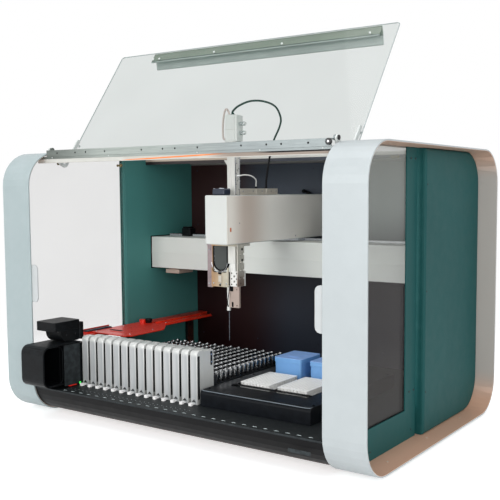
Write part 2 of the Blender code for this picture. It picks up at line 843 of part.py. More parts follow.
def smooth(item, angle=35):
    """Shade round faces smooth and keep edges sharper than the angle."""
    item.data.shade_smooth()
    item.data.set_sharp_from_angle(angle=math.radians(angle))


def slide_frame(name, location, children):
    """An empty that carries the pieces of one moving body."""
    frame = bpy.data.objects.new(name, None)
    frame.location = location
    PARTS.objects.link(frame)
    bpy.context.view_layer.update()
    for child in children:
        child.parent = frame
        child.matrix_parent_inverse = frame.matrix_world.inverted()
    return frame


def spread(low, high):
    """Sort two X values, so that a mirrored span runs from low to high."""
    return min(low, high), max(low, high)


# Bands, side walls and feet


def band(name, side):
    outer = front_edge(0, FOOT_HEIGHT, BAND_TOP)
    inner = front_edge(BAND_WALL, FOOT_HEIGHT + BAND_WALL, BAND_TOP - BAND_WALL)
    low, high = spread(side * BAND_INNER, side * HALF_WIDTH)
    item = prism(
        name, outer + to_back(outer), "YZ", low, high, "band_silver", [inner + to_back(inner)]
    )
    smooth(item)
    return item


def side_frame(name, side, post_back, post_width):
    """An L of sheet: the skirt below the window and the post behind it."""
    bottom = FOOT_HEIGHT + LINER
    top = BAND_TOP - LINER
    post_front = FRONT + post_back
    post_rear = post_front + post_width
    outline = front_edge(LINER, bottom, DECK_TOP)
    outline += [
        Vector((post_front, DECK_TOP)),
        Vector((post_front, top)),
        Vector((post_rear, top)),
        Vector((post_rear, bottom)),
    ]
    low, high = spread(side * WALL_X, side * (WALL_X - SIDE_SHEET))
    return prism(name, outline, "YZ", low, high, "cabinet_green")


def window(name, side, post_back):
    low_edge = DECK_TOP - WINDOW_LAP
    top = BAND_TOP - LINER
    rear = FRONT + post_back + WINDOW_LAP / 2
    outline = front_edge(LINER, low_edge, top) + [Vector((rear, top)), Vector((rear, low_edge))]
    low, high = spread(side * WINDOW_OUTSIDE, side * (WINDOW_OUTSIDE - WINDOW_SHEET))
    return prism(name, outline, "YZ", low, high, "window_clear")


def side_cover(name, side):
    """The thick rear side cover, with its outer rim rounded."""
    front = FRONT + SIDE_COVER_BACK
    bottom = FOOT_HEIGHT + LINER
    top = BAND_TOP - LINER
    edge = to_back(front_edge(LINER, bottom, top))
    outline = edge + [Vector((front, bottom)), Vector((front, top))]
    low, high = spread(side * SIDE_COVER_OUTSIDE, side * SIDE_INSIDE)
    item = prism(name, outline, "YZ", low, high, "cabinet_green")
    shape = bmesh.new()
    shape.from_mesh(item.data)
    rim = side * SIDE_COVER_THICKNESS / 2
    edges = [
        edge
        for edge in shape.edges
        if all(abs(vert.co.z - rim) < MERGE for vert in edge.verts) and edge.calc_face_angle(0) > 1
    ]
    bmesh.ops.bevel(
        shape, geom=edges, offset=SIDE_COVER_ROUND, segments=3, profile=0.5, affect="EDGES"
    )
    shape.to_mesh(item.data)
    shape.free()
    smooth(item)
    return item


def foot(name, side):
    """A rubber runner under one band."""
    middle = side * (HALF_WIDTH - BAND_WIDTH / 2)
    outline = rectangle(
        middle - RUNNER_WIDTH / 2,
        middle + RUNNER_WIDTH / 2,
        FRONT + RUNNER_INSET,
        BACK - RUNNER_INSET,
        RUNNER_WIDTH / 3,
    )
    return prism(name, outline, "XY", 0, FOOT_HEIGHT - CLEARANCE, "rubber_black")


# Base, deck and back


def base_housing():
    front = front_edge(LINER, FOOT_HEIGHT + LINER, BASE_TOP)
    item = prism(
        "base_housing", front + to_back(front), "YZ", -LINER_HALF, LINER_HALF, "base_black"
    )
    smooth(item)
    return item


def deck():
    front = front_edge(LINER, BASE_TOP + CLEARANCE, DECK_TOP)
    item = prism("deck", front + to_back(front), "YZ", -LINER_HALF, LINER_HALF, "deck_black")
    slots = []
    for index in range(DECK_SLOT_COUNT):
        left = RACK_LEFT + index * RACK_PITCH + (RACK_WIDTH - DECK_SLOT_LENGTH) / 2
        near = FRONT + DECK_SLOT_BACK
        low = (left, near, BASE_TOP - OVERRUN)
        high = (left + DECK_SLOT_LENGTH, near + DECK_SLOT_WIDTH, DECK_TOP + OVERRUN)
        slots.append((low, high))
    cut(item, cubes("deck_slots", slots, "deck_black"))
    return item


def inner_back_panel():
    """The dark wall inside the chamber, with the step behind the beam."""
    rear = INNER_HIGH_BACK + INNER_SHEET
    top = roof_height(LINER + COVER_SHEET, rear) - CLEARANCE
    path = [
        Vector((FRONT + INNER_LOW_BACK, ON_DECK)),
        Vector((FRONT + INNER_LOW_BACK, INNER_STEP_LOW)),
        Vector((FRONT + INNER_HIGH_BACK, INNER_STEP_HIGH)),
        Vector((FRONT + INNER_HIGH_BACK, top)),
    ]
    outline = sheet(path, -INNER_SHEET)
    return prism("inner_back_panel", outline, "YZ", -LINER_HALF, LINER_HALF, "inner_dark")


def rear_cover():
    """One wrapped sheet: a lip over the chamber, the roof, the rear corner and the back."""
    lip = FRONT + ROOF_LIP_BACK
    top = BAND_TOP - LINER
    lip_path = rounded(
        [(lip, top - ROOF_LIP_DROP, 0), (lip, top, ROOF_LIP_ROUND), (lip + DEPTH, top, 0)]
    )[:-1]
    path = lip_path + to_back(front_edge(LINER, ON_DECK, top))
    item = prism("rear_cover", sheet(path, -COVER_SHEET), "YZ", -LINER_HALF, LINER_HALF, "cover_white")
    cut(item, vent_slots(), fan_opening(), inlet_opening())
    join(item, fan_guard())
    smooth(item)
    return item


def back_span():
    """Y values that run past both faces of the rear cover's flat back."""
    outside = BACK - LINER
    return outside - COVER_SHEET - OVERRUN, outside + OVERRUN


def vent_slots():
    low_y, high_y = back_span()
    slots = []
    for group in (-1, 1):
        for index in range(VENT_COUNT):
            middle = group * VENT_GROUP_X + (index - (VENT_COUNT - 1) / 2) * VENT_PITCH
            low = (middle - VENT_WIDTH / 2, low_y, VENT_BOTTOM)
            slots.append((low, (middle + VENT_WIDTH / 2, high_y, VENT_BOTTOM + VENT_HEIGHT)))
    return cubes("vent_slots", slots, "cover_white")


def fan_opening():
    low_y, high_y = back_span()
    outline = circle(FAN_X, FAN_Z, FAN_RADIUS, ROUND_SIDES + 4)
    return prism("fan_opening", outline, "XZ", low_y, high_y, "cover_white")


def fan_guard():
    """Hub, ring and spokes across the fan opening, as one flat piece."""
    outside = BACK - LINER
    low_y = outside - COVER_SHEET
    ring_outer = (FAN_RADIUS + FAN_HUB_RADIUS + FAN_RING_WIDTH) / 2
    ring_inner = ring_outer - FAN_RING_WIDTH
    sides = ROUND_SIDES + 4
    ring = prism(
        "fan_guard", circle(FAN_X, FAN_Z, ring_outer, sides), "XZ", low_y, outside, "cover_white",
        [circle(FAN_X, FAN_Z, ring_inner, sides)],
    )
    half = FAN_SPOKE_WIDTH / 2
    reach = FAN_RADIUS + OVERRUN
    upright = rectangle(FAN_X - half, FAN_X + half, FAN_Z - reach, FAN_Z + reach)
    level = rectangle(FAN_X - reach, FAN_X + reach, FAN_Z - half, FAN_Z + half)
    hub = circle(FAN_X, FAN_Z, FAN_HUB_RADIUS)
    pieces = [
        prism("fan_upright", upright, "XZ", low_y, outside, "cover_white"),
        prism("fan_level", level, "XZ", low_y, outside, "cover_white"),
        prism("fan_hub", hub, "XZ", low_y, outside, "cover_white"),
    ]
    join(ring, *pieces)
    return ring


def inlet_opening():
    low_y, high_y = back_span()
    half_width = INLET_FLANGE_WIDTH / 2 - INLET_RIM
    half_height = INLET_FLANGE_HEIGHT / 2 - INLET_RIM
    low = (INLET_X - half_width, low_y, INLET_Z - half_height)
    return box("inlet_opening", low, (INLET_X + half_width, high_y, INLET_Z + half_height), "cover_white")


def power_inlet():
    """Flange and body of the mains inlet, with its socket, its pins and the rocker's well."""
    seat = BACK - LINER + CLEARANCE
    face = seat + INLET_FLANGE
    half_width = INLET_FLANGE_WIDTH / 2
    half_height = INLET_FLANGE_HEIGHT / 2
    flange = rectangle(
        INLET_X - half_width, INLET_X + half_width, INLET_Z - half_height, INLET_Z + half_height,
        INLET_RIM,
    )
    item = prism("power_inlet", flange, "XZ", seat, face, "inlet_black")
    body_inset = INLET_RIM + CLEARANCE
    body = box(
        "inlet_body",
        (INLET_X - half_width + body_inset, face - INLET_DEPTH, INLET_Z - half_height + body_inset),
        (INLET_X + half_width - body_inset, seat + BITE, INLET_Z + half_height - body_inset),
        "inlet_black",
    )
    socket_x = INLET_X - SOCKET_OFFSET
    socket = box(
        "inlet_socket",
        (socket_x - SOCKET_WIDTH / 2, face - SOCKET_DEPTH, INLET_Z - SOCKET_HEIGHT / 2),
        (socket_x + SOCKET_WIDTH / 2, face + OVERRUN, INLET_Z + SOCKET_HEIGHT / 2),
        "inlet_black",
    )
    well_half_width = ROCKER_WIDTH / 2 + RUN_GAP
    well_half_height = ROCKER_HEIGHT / 2 + ROCKER_WELL_GAP
    rocker_x = INLET_X + ROCKER_OFFSET
    well = box(
        "rocker_well",
        (rocker_x - well_half_width, face - SOCKET_DEPTH, INLET_Z - well_half_height),
        (rocker_x + well_half_width, face + OVERRUN, INLET_Z + well_half_height),
        "inlet_black",
    )
    pins = []
    for step in (-1, 0, 1):
        middle = socket_x + step * PIN_SPREAD
        base = face - SOCKET_DEPTH
        low = (middle - PIN_WIDTH / 2, base - BITE, INLET_Z - PIN_HEIGHT / 2)
        pins.append((low, (middle + PIN_WIDTH / 2, base + PIN_LENGTH, INLET_Z + PIN_HEIGHT / 2)))
    join(item, body)
    cut(item, socket, well)
    join(item, cubes("inlet_pins", pins, "inlet_black"))
    return item


def power_switch():
    """The rocker, pressed at its top, turning on a level axis in its well."""
    half = ROCKER_HEIGHT / 2
    deep = ROCKER_HALF_DEPTH
    outline = [(-deep, -half), (deep, -half), (deep - ROCKER_DISH, 0), (deep, half), (-deep, half)]
    rocker_x = INLET_X + ROCKER_OFFSET
    item = prism("power_switch", outline, "YZ", -ROCKER_WIDTH / 2, ROCKER_WIDTH / 2, "inlet_black")
    item.rotation_mode = "XYZ"
    frame = slide_frame("switch_pivot", (0, 0, 0), [item])
    frame.location = (rocker_x, FRONT + ROCKER_PIVOT_BACK, INLET_Z)
    frame.rotation_euler = (math.radians(ROCKER_TILT), 0, 0)
    return item


# Front rail, catches and lid


def front_rail():
    """Angle with its holes, the channel under it, and an ear with a hinge pin at each end."""
    face = FRONT + RAIL_FACE_BACK
    channel_front = face + CHANNEL_SETBACK
    channel_top = RAIL_FACE_BOTTOM
    angle_path = [
        Vector((face, channel_top - BITE)),
        Vector((face, RAIL_TOP)),
        Vector((face + RAIL_FLANGE, RAIL_TOP)),
    ]
    item = prism("front_rail", sheet(angle_path, -RAIL_SHEET), "YZ", -RAIL_HALF, RAIL_HALF, "aluminium")
    channel = rectangle(
        channel_front, channel_front + CHANNEL_DEPTH, channel_top - CHANNEL_HEIGHT, channel_top
    )
    join(item, prism("rail_channel", channel, "YZ", -LINER_HALF, LINER_HALF, "aluminium"))
    for side in (-1, 1):
        inner, outer = spread(side * (RAIL_HALF - EAR_THICKNESS), side * (RAIL_HALF + BITE))
        ear = circle(FRONT + HINGE_BACK, HINGE_Z, EAR_RADIUS)
        pin_end = LID_ARM_X + LID_ARM_THICKNESS + RUN_GAP
        pin = rods(
            "hinge_pin",
            [
                (
                    (side * (RAIL_HALF - EAR_THICKNESS / 2), FRONT + HINGE_BACK, HINGE_Z),
                    (side * pin_end, FRONT + HINGE_BACK, HINGE_Z),
                )
            ],
            PIN_RADIUS,
            "steel",
        )
        join(item, prism("hinge_ear", ear, "YZ", inner, outer, "aluminium"), pin)
    cut(item, rail_holes(face))
    return item


def rail_holes(face):
    """Three groups of four holes through the rail's face."""
    height = (RAIL_FACE_BOTTOM + RAIL_TOP) / 2
    spans = []
    for group in (-1, 0, 1):
        for offset in (-RAIL_HOLE_OUTER, -RAIL_HOLE_INNER, RAIL_HOLE_INNER, RAIL_HOLE_OUTER):
            across = RAIL_GROUP_X + group * RAIL_GROUP_PITCH + offset
            start = (across, face - OVERRUN, height)
            spans.append((start, (across, face + RAIL_SHEET + OVERRUN, height)))
    return rods("rail_holes", spans, RAIL_HOLE_RADIUS, "aluminium", 6)


def catch(name, side):
    """A rounded plate behind the band's front, where the closed lid lies, with a button."""
    seat = FRONT + LINER
    low, high = spread(side * CATCH_INNER_X, side * (CATCH_INNER_X + CATCH_WIDTH))
    outline = rectangle(low, high, CATCH_BOTTOM, CATCH_BOTTOM + CATCH_HEIGHT, CATCH_ROUND)
    item = prism(name, outline, "XZ", seat, seat + CATCH_THICKNESS, "catch_grey")
    middle = side * (CATCH_INNER_X + BAND_INNER) / 2
    height = CATCH_BOTTOM + CATCH_HEIGHT / 2
    rear = seat + CATCH_THICKNESS
    button = rods(
        "catch_button",
        [((middle, rear - BITE, height), (middle, rear + CATCH_THICKNESS, height))],
        CATCH_DOT_RADIUS,
        "catch_grey",
    )
    join(item, button)
    return item


def lid_half():
    return BAND_INNER - LID_SIDE_GAP


def lid_panel():
    """The clear panel, closed: its plane is the bands' front, below and ahead of the axis."""
    outer = -HINGE_BACK
    half = lid_half()
    outline = rectangle(-half, half, -LID_TOP_DROP - LID_LENGTH, -LID_TOP_DROP, LID_CORNER)
    return prism("lid_panel", outline, "XZ", outer, outer + LID_THICKNESS, "lid_clear")


def lid_handle():
    """A folded grip: a flange on the panel's outer face that turns back and flares out."""
    face = -HINGE_BACK - CLEARANCE
    free = -LID_TOP_DROP - LID_LENGTH
    path = [
        Vector((face, free + HANDLE_FLANGE)),
        Vector((face, free)),
        Vector((face - HANDLE_STAND, free + HANDLE_FOLD)),
        Vector((face - HANDLE_FLARE, free + HANDLE_FOLD + HANDLE_FLARE_RISE)),
    ]
    inner = [
        Vector((face - HANDLE_FLARE + HANDLE_SHEET, free + HANDLE_FOLD + HANDLE_FLARE_RISE + BITE)),
        Vector((face - HANDLE_STAND + HANDLE_SHEET / 2, free + HANDLE_FOLD + HANDLE_SHEET)),
        Vector((face - HANDLE_SHEET, free + 2 * HANDLE_SHEET)),
        Vector((face - HANDLE_SHEET, free + HANDLE_FLANGE)),
    ]
    return prism("lid_handle", path + inner, "YZ", HANDLE_LEFT, HANDLE_RIGHT, "handle_olive")


def lid_arm(name, side):
    """A cranked arm: a boss round the pin, a neck over the rail and a foot behind the panel."""
    foot_face = -HINGE_BACK + LID_THICKNESS + CLEARANCE
    top = LID_ARM_RISE + LID_ARM_WIDTH
    neck_bottom = LID_ARM_RISE
    foot_bottom = -LID_TOP_DROP - LID_ARM_FOOT
    corners = [
        (foot_face, foot_bottom, 0),
        (foot_face + LID_ARM_WIDTH, foot_bottom, LID_ARM_WIDTH / 3),
        (foot_face + LID_ARM_WIDTH, neck_bottom, LID_ARM_BEND / 3),
        (-LID_ARM_BOSS / 2, neck_bottom - LID_ARM_BOSS, 0),
        (LID_ARM_BOSS, -LID_ARM_BOSS, LID_ARM_BOSS / 2),
        (LID_ARM_BOSS, LID_ARM_BOSS, LID_ARM_BOSS / 2),
        (0, top, LID_ARM_WIDTH / 2),
        (foot_face, top, LID_ARM_BEND),
    ]
    low, high = spread(side * LID_ARM_X, side * (LID_ARM_X + LID_ARM_THICKNESS))
    hole = circle(0, 0, PIN_RADIUS + HINGE_HOLE_GAP)
    return prism(name, rounded(corners), "YZ", low, high, "base_black", [hole])


def lid():
    pieces = [
        lid_panel(),
        lid_handle(),
        lid_arm("left_lid_arm", -1),
        lid_arm("right_lid_arm", 1),
    ]
    frame = slide_frame("lid_hinge", (0, 0, 0), pieces)
    frame.location = (0, FRONT + HINGE_BACK, HINGE_Z)
    frame.rotation_euler = (-math.radians(LID_OPEN_ANGLE), 0, 0)
    return frame


# Beam and arm


def x_beam():
    """A bent beam: a creased front, a top plate and a return under the front."""
    front = FRONT + BEAM_BACK
    middle = BEAM_BOTTOM + BEAM_HEIGHT / 2
    path = [
        Vector((front + BEAM_RETURN, BEAM_BOTTOM)),
        Vector((front, BEAM_BOTTOM)),
        Vector((front - BEAM_CREASE / 4, middle)),
        Vector((front, BEAM_TOP)),
        Vector((front + BEAM_DEPTH, BEAM_TOP)),
    ]
    return prism("x_beam", sheet(path, -BEAM_SHEET), "YZ", -LINER_HALF, LINER_HALF, "arm_white")


def x_guide_rail():
    """The steel guide on the beam, with the stop block at its left end."""
    near = FRONT + GUIDE_BACK
    bottom = BEAM_TOP + CLEARANCE
    reach = LINER_HALF - BAND_WALL
    item = box(
        "x_guide_rail", (-reach, near, bottom), (reach, near + GUIDE_WIDTH, bottom + GUIDE_HEIGHT), "steel"
    )
    stop_low = (STOP_LEFT, near - (STOP_DEPTH - GUIDE_WIDTH) / 2, bottom)
    stop_high = (
        STOP_LEFT + STOP_WIDTH, near + (STOP_DEPTH + GUIDE_WIDTH) / 2, bottom + STOP_HEIGHT
    )
    join(item, box("guide_stop", stop_low, stop_high, "steel"))
    return item


def x_trolley():
    """The block that rides astride the guide rail, inside the arm."""
    gap = RUN_GAP
    near = FRONT + TROLLEY_BACK
    bottom = BEAM_TOP + gap
    top = bottom + TROLLEY_HEIGHT
    guide_near = FRONT + GUIDE_BACK - gap
    guide_far = guide_near + GUIDE_WIDTH + 2 * gap
    guide_top = BEAM_TOP + CLEARANCE + GUIDE_HEIGHT + gap
    outline = [
        (near, bottom),
        (guide_near, bottom),
        (guide_near, guide_top),
        (guide_far, guide_top),
        (guide_far, bottom),
        (near + TROLLEY_LENGTH, bottom),
        (near + TROLLEY_LENGTH, top),
        (near, top),
    ]
    low = ARM_LEFT + ARM_WALL + CLEARANCE
    high = ARM_RIGHT - ARM_WALL - CLEARANCE
    return prism("x_trolley", outline, "YZ", low, high, "steel")


def arm_cover():
    """The arm's long cover, open below, with the mast's slot along its top."""
    near = FRONT + ARM_BACK
    far = near + ARM_LENGTH
    item = box("arm_cover", (ARM_LEFT, near, ARM_BOTTOM), (ARM_RIGHT, far, ARM_TOP), "arm_white")
    soften(item, ARM_ROUND, 2)
    hollow = box(
        "arm_hollow",
        (ARM_LEFT + ARM_WALL, near + ARM_WALL, ARM_BOTTOM - OVERRUN),
        (ARM_RIGHT - ARM_WALL, far - ARM_WALL, ARM_TOP - ARM_WALL),
        "arm_white",
    )
    slot_near = FRONT + MAST_BACK - SLOT_GAP
    slot_far = FRONT + MAST_BACK + MAST_DEEP + CARRIAGE_TRAVEL + SLOT_GAP
    slot = prism(
        "mast_slot",
        rectangle(MAST_LEFT - SLOT_GAP, MAST_RIGHT + SLOT_GAP, slot_near, slot_far, SLOT_GAP),
        "XY",
        ARM_TOP - ARM_WALL - OVERRUN,
        ARM_TOP + OVERRUN,
        "arm_white",
    )
    cut(item, hollow, slot)
    return item


def arm_plate():
    """An upright plate on the arm's right, with the sockets of the cable and the tube."""
    near = FRONT + PLATE_BACK
    top = ON_ARM + PLATE_HEIGHT
    path = [
        Vector((PLATE_LEFT + PLATE_FOOT, ON_ARM)),
        Vector((PLATE_LEFT + PLATE_STANDOFF, ON_ARM)),
        Vector((PLATE_LEFT + PLATE_STANDOFF, top)),
    ]
    item = prism("arm_plate", sheet(path, -PLATE_SHEET), "XZ", near, near + PLATE_LENGTH, "plate_beige")
    across = PLATE_LEFT + SOCKET_RADIUS + CLEARANCE
    spans = []
    for back in (CABLE_SOCKET_BACK, LOOP_SOCKET_BACK):
        spans.append(((across, FRONT + back, ON_ARM), (across, FRONT + back, top)))
    join(item, rods("plate_sockets", spans, SOCKET_RADIUS, "plate_beige"))
    return item


def y_motor():
    near = FRONT + MOTOR_BACK
    item = box(
        "y_motor",
        (MOTOR_LEFT, near, ON_ARM),
        (MOTOR_LEFT + MOTOR_WIDTH, near + MOTOR_LENGTH, ON_ARM + MOTOR_HEIGHT),
        "motor_dark",
    )
    soften(item, MOTOR_ROUND)
    return item


# Carriage, mast and needle


def z_mast():
    """A square tube with a gusset on its left and two holes in its side."""
    near = FRONT + MAST_BACK
    outline = rectangle(MAST_LEFT, MAST_RIGHT, near, near + MAST_DEEP, MAST_ROUND, 2)
    bore = rectangle(
        MAST_LEFT + MAST_WALL, MAST_RIGHT - MAST_WALL, near + MAST_WALL, near + MAST_DEEP - MAST_WALL
    )
    item = prism("z_mast", outline, "XY", MAST_BOTTOM, MAST_TOP, "mast_white", [bore])
    gusset_top = MAST_TOP - GUSSET_DROP
    side = MAST_LEFT + BITE
    gusset = [
        (side, gusset_top - GUSSET_HEIGHT),
        (side, gusset_top),
        (side - GUSSET_REACH, gusset_top),
    ]
    middle = near + MAST_DEEP / 2
    wing = prism(
        "mast_gusset", gusset, "XZ", middle - GUSSET_SHEET / 2, middle + GUSSET_SHEET / 2, "mast_white"
    )
    join(item, wing)
    spans = []
    for index in range(2):
        height = MAST_TOP - MAST_HOLE_DROP - index * MAST_HOLE_PITCH
        start = (MAST_RIGHT - MAST_WALL - BITE, middle, height)
        spans.append((start, (MAST_RIGHT + OVERRUN, middle, height)))
    cut(item, rods("mast_holes", spans, MAST_HOLE_RADIUS, "mast_white", 8))
    return item


def mast_top_block():
    """The block on the mast, with a groove round it, a side strip and two fittings."""
    near = FRONT + MAST_BACK - TOP_BLOCK_LAP
    far = FRONT + MAST_BACK + MAST_DEEP + TOP_BLOCK_LAP
    right = TOP_BLOCK_LEFT + TOP_BLOCK_WIDTH
    groove_z = TOP_BLOCK_TOP - TOP_GROOVE_DROP
    item = prism(
        "mast_top_block",
        [
            (TOP_BLOCK_LEFT, TOP_BLOCK_BOTTOM),
            (right + TOP_STRIP_GAP, TOP_BLOCK_BOTTOM),
            (right + TOP_STRIP_GAP, TOP_BLOCK_TOP),
            (TOP_BLOCK_LEFT, TOP_BLOCK_TOP),
            (TOP_BLOCK_LEFT, groove_z + TOP_GROOVE),
            (TOP_BLOCK_LEFT + TOP_GROOVE, groove_z + TOP_GROOVE),
            (TOP_BLOCK_LEFT + TOP_GROOVE, groove_z),
            (TOP_BLOCK_LEFT, groove_z),
        ],
        "XZ",
        near,
        far,
        "mast_white",
    )
    strip_left = right + TOP_STRIP_GAP
    strip = box(
        "top_strip",
        (strip_left - BITE, near + TOP_BLOCK_LAP, TOP_BLOCK_BOTTOM + TOP_BLOCK_LAP),
        (strip_left + TOP_STRIP_WIDTH, far - TOP_BLOCK_LAP, TOP_BLOCK_TOP - TOP_BLOCK_LAP),
        "mast_white",
    )
    middle = (near + far) / 2
    height = (TOP_BLOCK_BOTTOM + TOP_BLOCK_TOP) / 2
    spans = []
    for step in (-1, 1):
        level = height + step * FITTING_PITCH / 2
        start = (strip_left + TOP_STRIP_WIDTH - BITE, middle, level)
        spans.append((start, (strip_left + TOP_STRIP_WIDTH + FITTING_REACH, middle, level)))
    join(item, strip, rods("top_fittings", spans, FITTING_RADIUS, "steel"))
    return item


def z_bracket():
    """The yoke under the arm, its hanger inside the arm, and the three plates below it."""
    near = FRONT + YOKE_FRONT_BACK
    far = near + YOKE_LENGTH
    yoke = rectangle(YOKE_LEFT, YOKE_RIGHT, near, far)
    gap = CLEARANCE
    mast_window = rectangle(
        MAST_LEFT - gap, MAST_RIGHT + gap, FRONT + MAST_BACK - gap, FRONT + MAST_BACK + MAST_DEEP + gap
    )
    item = prism("z_bracket", yoke, "XY", YOKE_BOTTOM, YOKE_TOP, "bracket_bronze", [mast_window])
    hanger_left = ARM_LEFT + ARM_WALL + CLEARANCE
    hanger = box(
        "bracket_hanger",
        (hanger_left, near + LEFT_PLATE_THICKNESS, YOKE_TOP - BITE),
        (hanger_left + HANGER_WIDTH, far, YOKE_TOP + HANGER_HEIGHT),
        "bracket_bronze",
    )
    plate_near = near + FACE_PLATE_SHEET
    left_plate = box(
        "bracket_left_plate",
        (YOKE_LEFT, plate_near - BITE, LEFT_PLATE_BOTTOM),
        (YOKE_LEFT + LEFT_PLATE_WIDTH, plate_near + LEFT_PLATE_THICKNESS, YOKE_BOTTOM + BITE),
        "bracket_bronze",
    )
    side_plate = bracket_side_plate(near, far)
    join(item, hanger, left_plate, side_plate, bracket_face_plate(near))
    return item


def bracket_side_plate(near, far):
    """The perforated plate on the right."""
    depth = far - near
    outline = rectangle(near, far, SIDE_PLATE_BOTTOM, YOKE_BOTTOM + BITE)
    holes = []
    height = YOKE_BOTTOM - SIDE_PLATE_BOTTOM
    for row in range(SIDE_HOLE_ROWS):
        for column in range(SIDE_HOLE_COLUMNS):
            across = near + depth / 2 + (column - (SIDE_HOLE_COLUMNS - 1) / 2) * SIDE_HOLE_PITCH
            level = SIDE_PLATE_BOTTOM + height * (row + 1) / (SIDE_HOLE_ROWS + 1)
            holes.append(circle(across, level, SIDE_HOLE_RADIUS, 6))
    return prism(
        "bracket_side_plate", outline, "YZ", YOKE_RIGHT - SIDE_PLATE_SHEET, YOKE_RIGHT,
        "bracket_bronze", holes,
    )


def bracket_face_plate(near):
    """The bronze plate in front, with the notch that the belt hangs in."""
    left = FACE_PLATE_LEFT
    right = left + FACE_PLATE_WIDTH
    top = FACE_PLATE_BOTTOM + FACE_PLATE_HEIGHT
    notch_left = BELT_LEFT - BELT_GAP
    notch_right = BELT_LEFT + BELT_WIDTH + BELT_GAP
    floor = top - FACE_NOTCH_DEPTH
    corners = [
        (left, FACE_PLATE_BOTTOM, 0),
        (right, FACE_PLATE_BOTTOM, 0),
        (right, top, 0),
        (notch_right, top, 0),
        (notch_right, floor, FACE_NOTCH_DEPTH / 2),
        (notch_left, floor, FACE_NOTCH_DEPTH / 2),
        (notch_left, top, 0),
        (left, top, 0),
    ]
    return prism("bracket_face_plate", rounded(corners), "XZ", near, near + FACE_PLATE_SHEET, "bracket_bronze")


def z_belt():
    """A belt that hangs in a U from the yoke."""
    top = YOKE_BOTTOM - CLEARANCE
    right = BELT_LEFT + BELT_WIDTH
    bend = BELT_WIDTH / 2 - BELT_GAP
    path = rounded(
        [(BELT_LEFT, top, 0), (BELT_LEFT, BELT_BOTTOM, bend), (right, BELT_BOTTOM, bend), (right, top, 0)],
        5,
    )
    near = FRONT + YOKE_FRONT_BACK + FACE_PLATE_SHEET + CLEARANCE
    return prism("z_belt", sheet(path, BELT_THICKNESS), "XZ", near, near + BELT_DEPTH, "cable_black")


def needle_holder():
    """A drilled block with the rod that runs in the mast and the plate that guides the needle."""
    near = FRONT + HOLDER_BACK
    far = near + HOLDER_DEPTH
    top = HOLDER_BOTTOM + HOLDER_HEIGHT
    outline = rectangle(HOLDER_LEFT, HOLDER_RIGHT, HOLDER_BOTTOM, top)
    middle = (HOLDER_LEFT + HOLDER_RIGHT) / 2
    bores = [
        circle(middle, HOLDER_BOTTOM + HOLDER_HEIGHT * step / 3, HOLDER_BORE_RADIUS, 8) for step in (1, 2)
    ]
    item = prism("needle_holder", outline, "XZ", near, far, "mast_white", bores)
    inset = MAST_WALL + ROD_INSET
    rod = box(
        "holder_rod",
        (MAST_LEFT + inset + HOLDER_BORE_RADIUS, FRONT + MAST_BACK + inset + ROD_INSET, top - BITE),
        (MAST_RIGHT - inset, FRONT + MAST_BACK + MAST_DEEP - inset, top + ROD_LENGTH),
        "mast_white",
    )
    plate_near = near + GUIDE_PLATE_SETBACK
    guide = box(
        "holder_guide",
        (GUIDE_PLATE_LEFT, plate_near, GUIDE_PLATE_BOTTOM),
        (GUIDE_PLATE_RIGHT, plate_near + GUIDE_PLATE_SHEET, HOLDER_BOTTOM + BITE),
        "mast_white",
    )
    join(item, rod, guide)
    return item


def needle():
    """A collar and a tapered needle below the guide plate."""
    top = GUIDE_PLATE_BOTTOM - CLEARANCE
    profile = [
        (0, 0),
        (COLLAR_RADIUS, 0),
        (COLLAR_RADIUS, -COLLAR_HEIGHT),
        (NEEDLE_RADIUS, -COLLAR_HEIGHT - COLLAR_RADIUS),
        (NEEDLE_RADIUS, NEEDLE_POINT - COLLAR_HEIGHT - NEEDLE_LENGTH),
        (0, -COLLAR_HEIGHT - NEEDLE_LENGTH),
    ]
    across = FRONT + HOLDER_BACK + GUIDE_PLATE_SETBACK + GUIDE_PLATE_SHEET / 2
    item = turned("needle", profile, (NEEDLE_X, across, top), "steel", 8)
    return item


# Racks


def rack_template():
    """One rack: base strip, looped handle, block and tray, with the tops of its tubes."""
    rear_block = RACK_BAR + RACK_LOOP + RACK_BLOCK
    corners = [
        (0, 0, 0),
        (RACK_LENGTH, 0, 0),
        (RACK_LENGTH, RACK_TRAY_HEIGHT, 0),
        (rear_block + RACK_STEP_LENGTH, RACK_TRAY_HEIGHT, 0),
        (rear_block + RACK_STEP_LENGTH, RACK_STEP_HEIGHT, 0),
        (rear_block, RACK_STEP_HEIGHT, 0),
        (rear_block, RACK_HEIGHT - RACK_BLOCK_DROP, RACK_LOOP_ROUND),
        (rear_block - RACK_BLOCK, RACK_HEIGHT - RACK_BLOCK_DROP, 0),
        (rear_block - RACK_BLOCK, RACK_HEIGHT, 0),
        (0, RACK_HEIGHT, RACK_ROUND),
    ]
    loop = rectangle(
        RACK_BAR, RACK_BAR + RACK_LOOP, RACK_BASE, RACK_HEIGHT - RACK_LOOP_TOP, RACK_LOOP_ROUND, 2
    )
    item = prism("rack", rounded(corners), "YZ", 0, RACK_WIDTH, "rack_grey", [loop])
    first = RACK_TRAY_START + TUBE_PITCH / 2
    spans = []
    for index in range(TUBE_COUNT):
        along = first + index * TUBE_PITCH
        start = (RACK_WIDTH / 2, along, RACK_TRAY_HEIGHT - BITE)
        spans.append((start, (RACK_WIDTH / 2, along, RACK_TRAY_HEIGHT + TUBE_RISE)))
    join(item, rods("rack_tubes", spans, TUBE_RADIUS, "rack_grey", TUBE_SIDES))
    return item


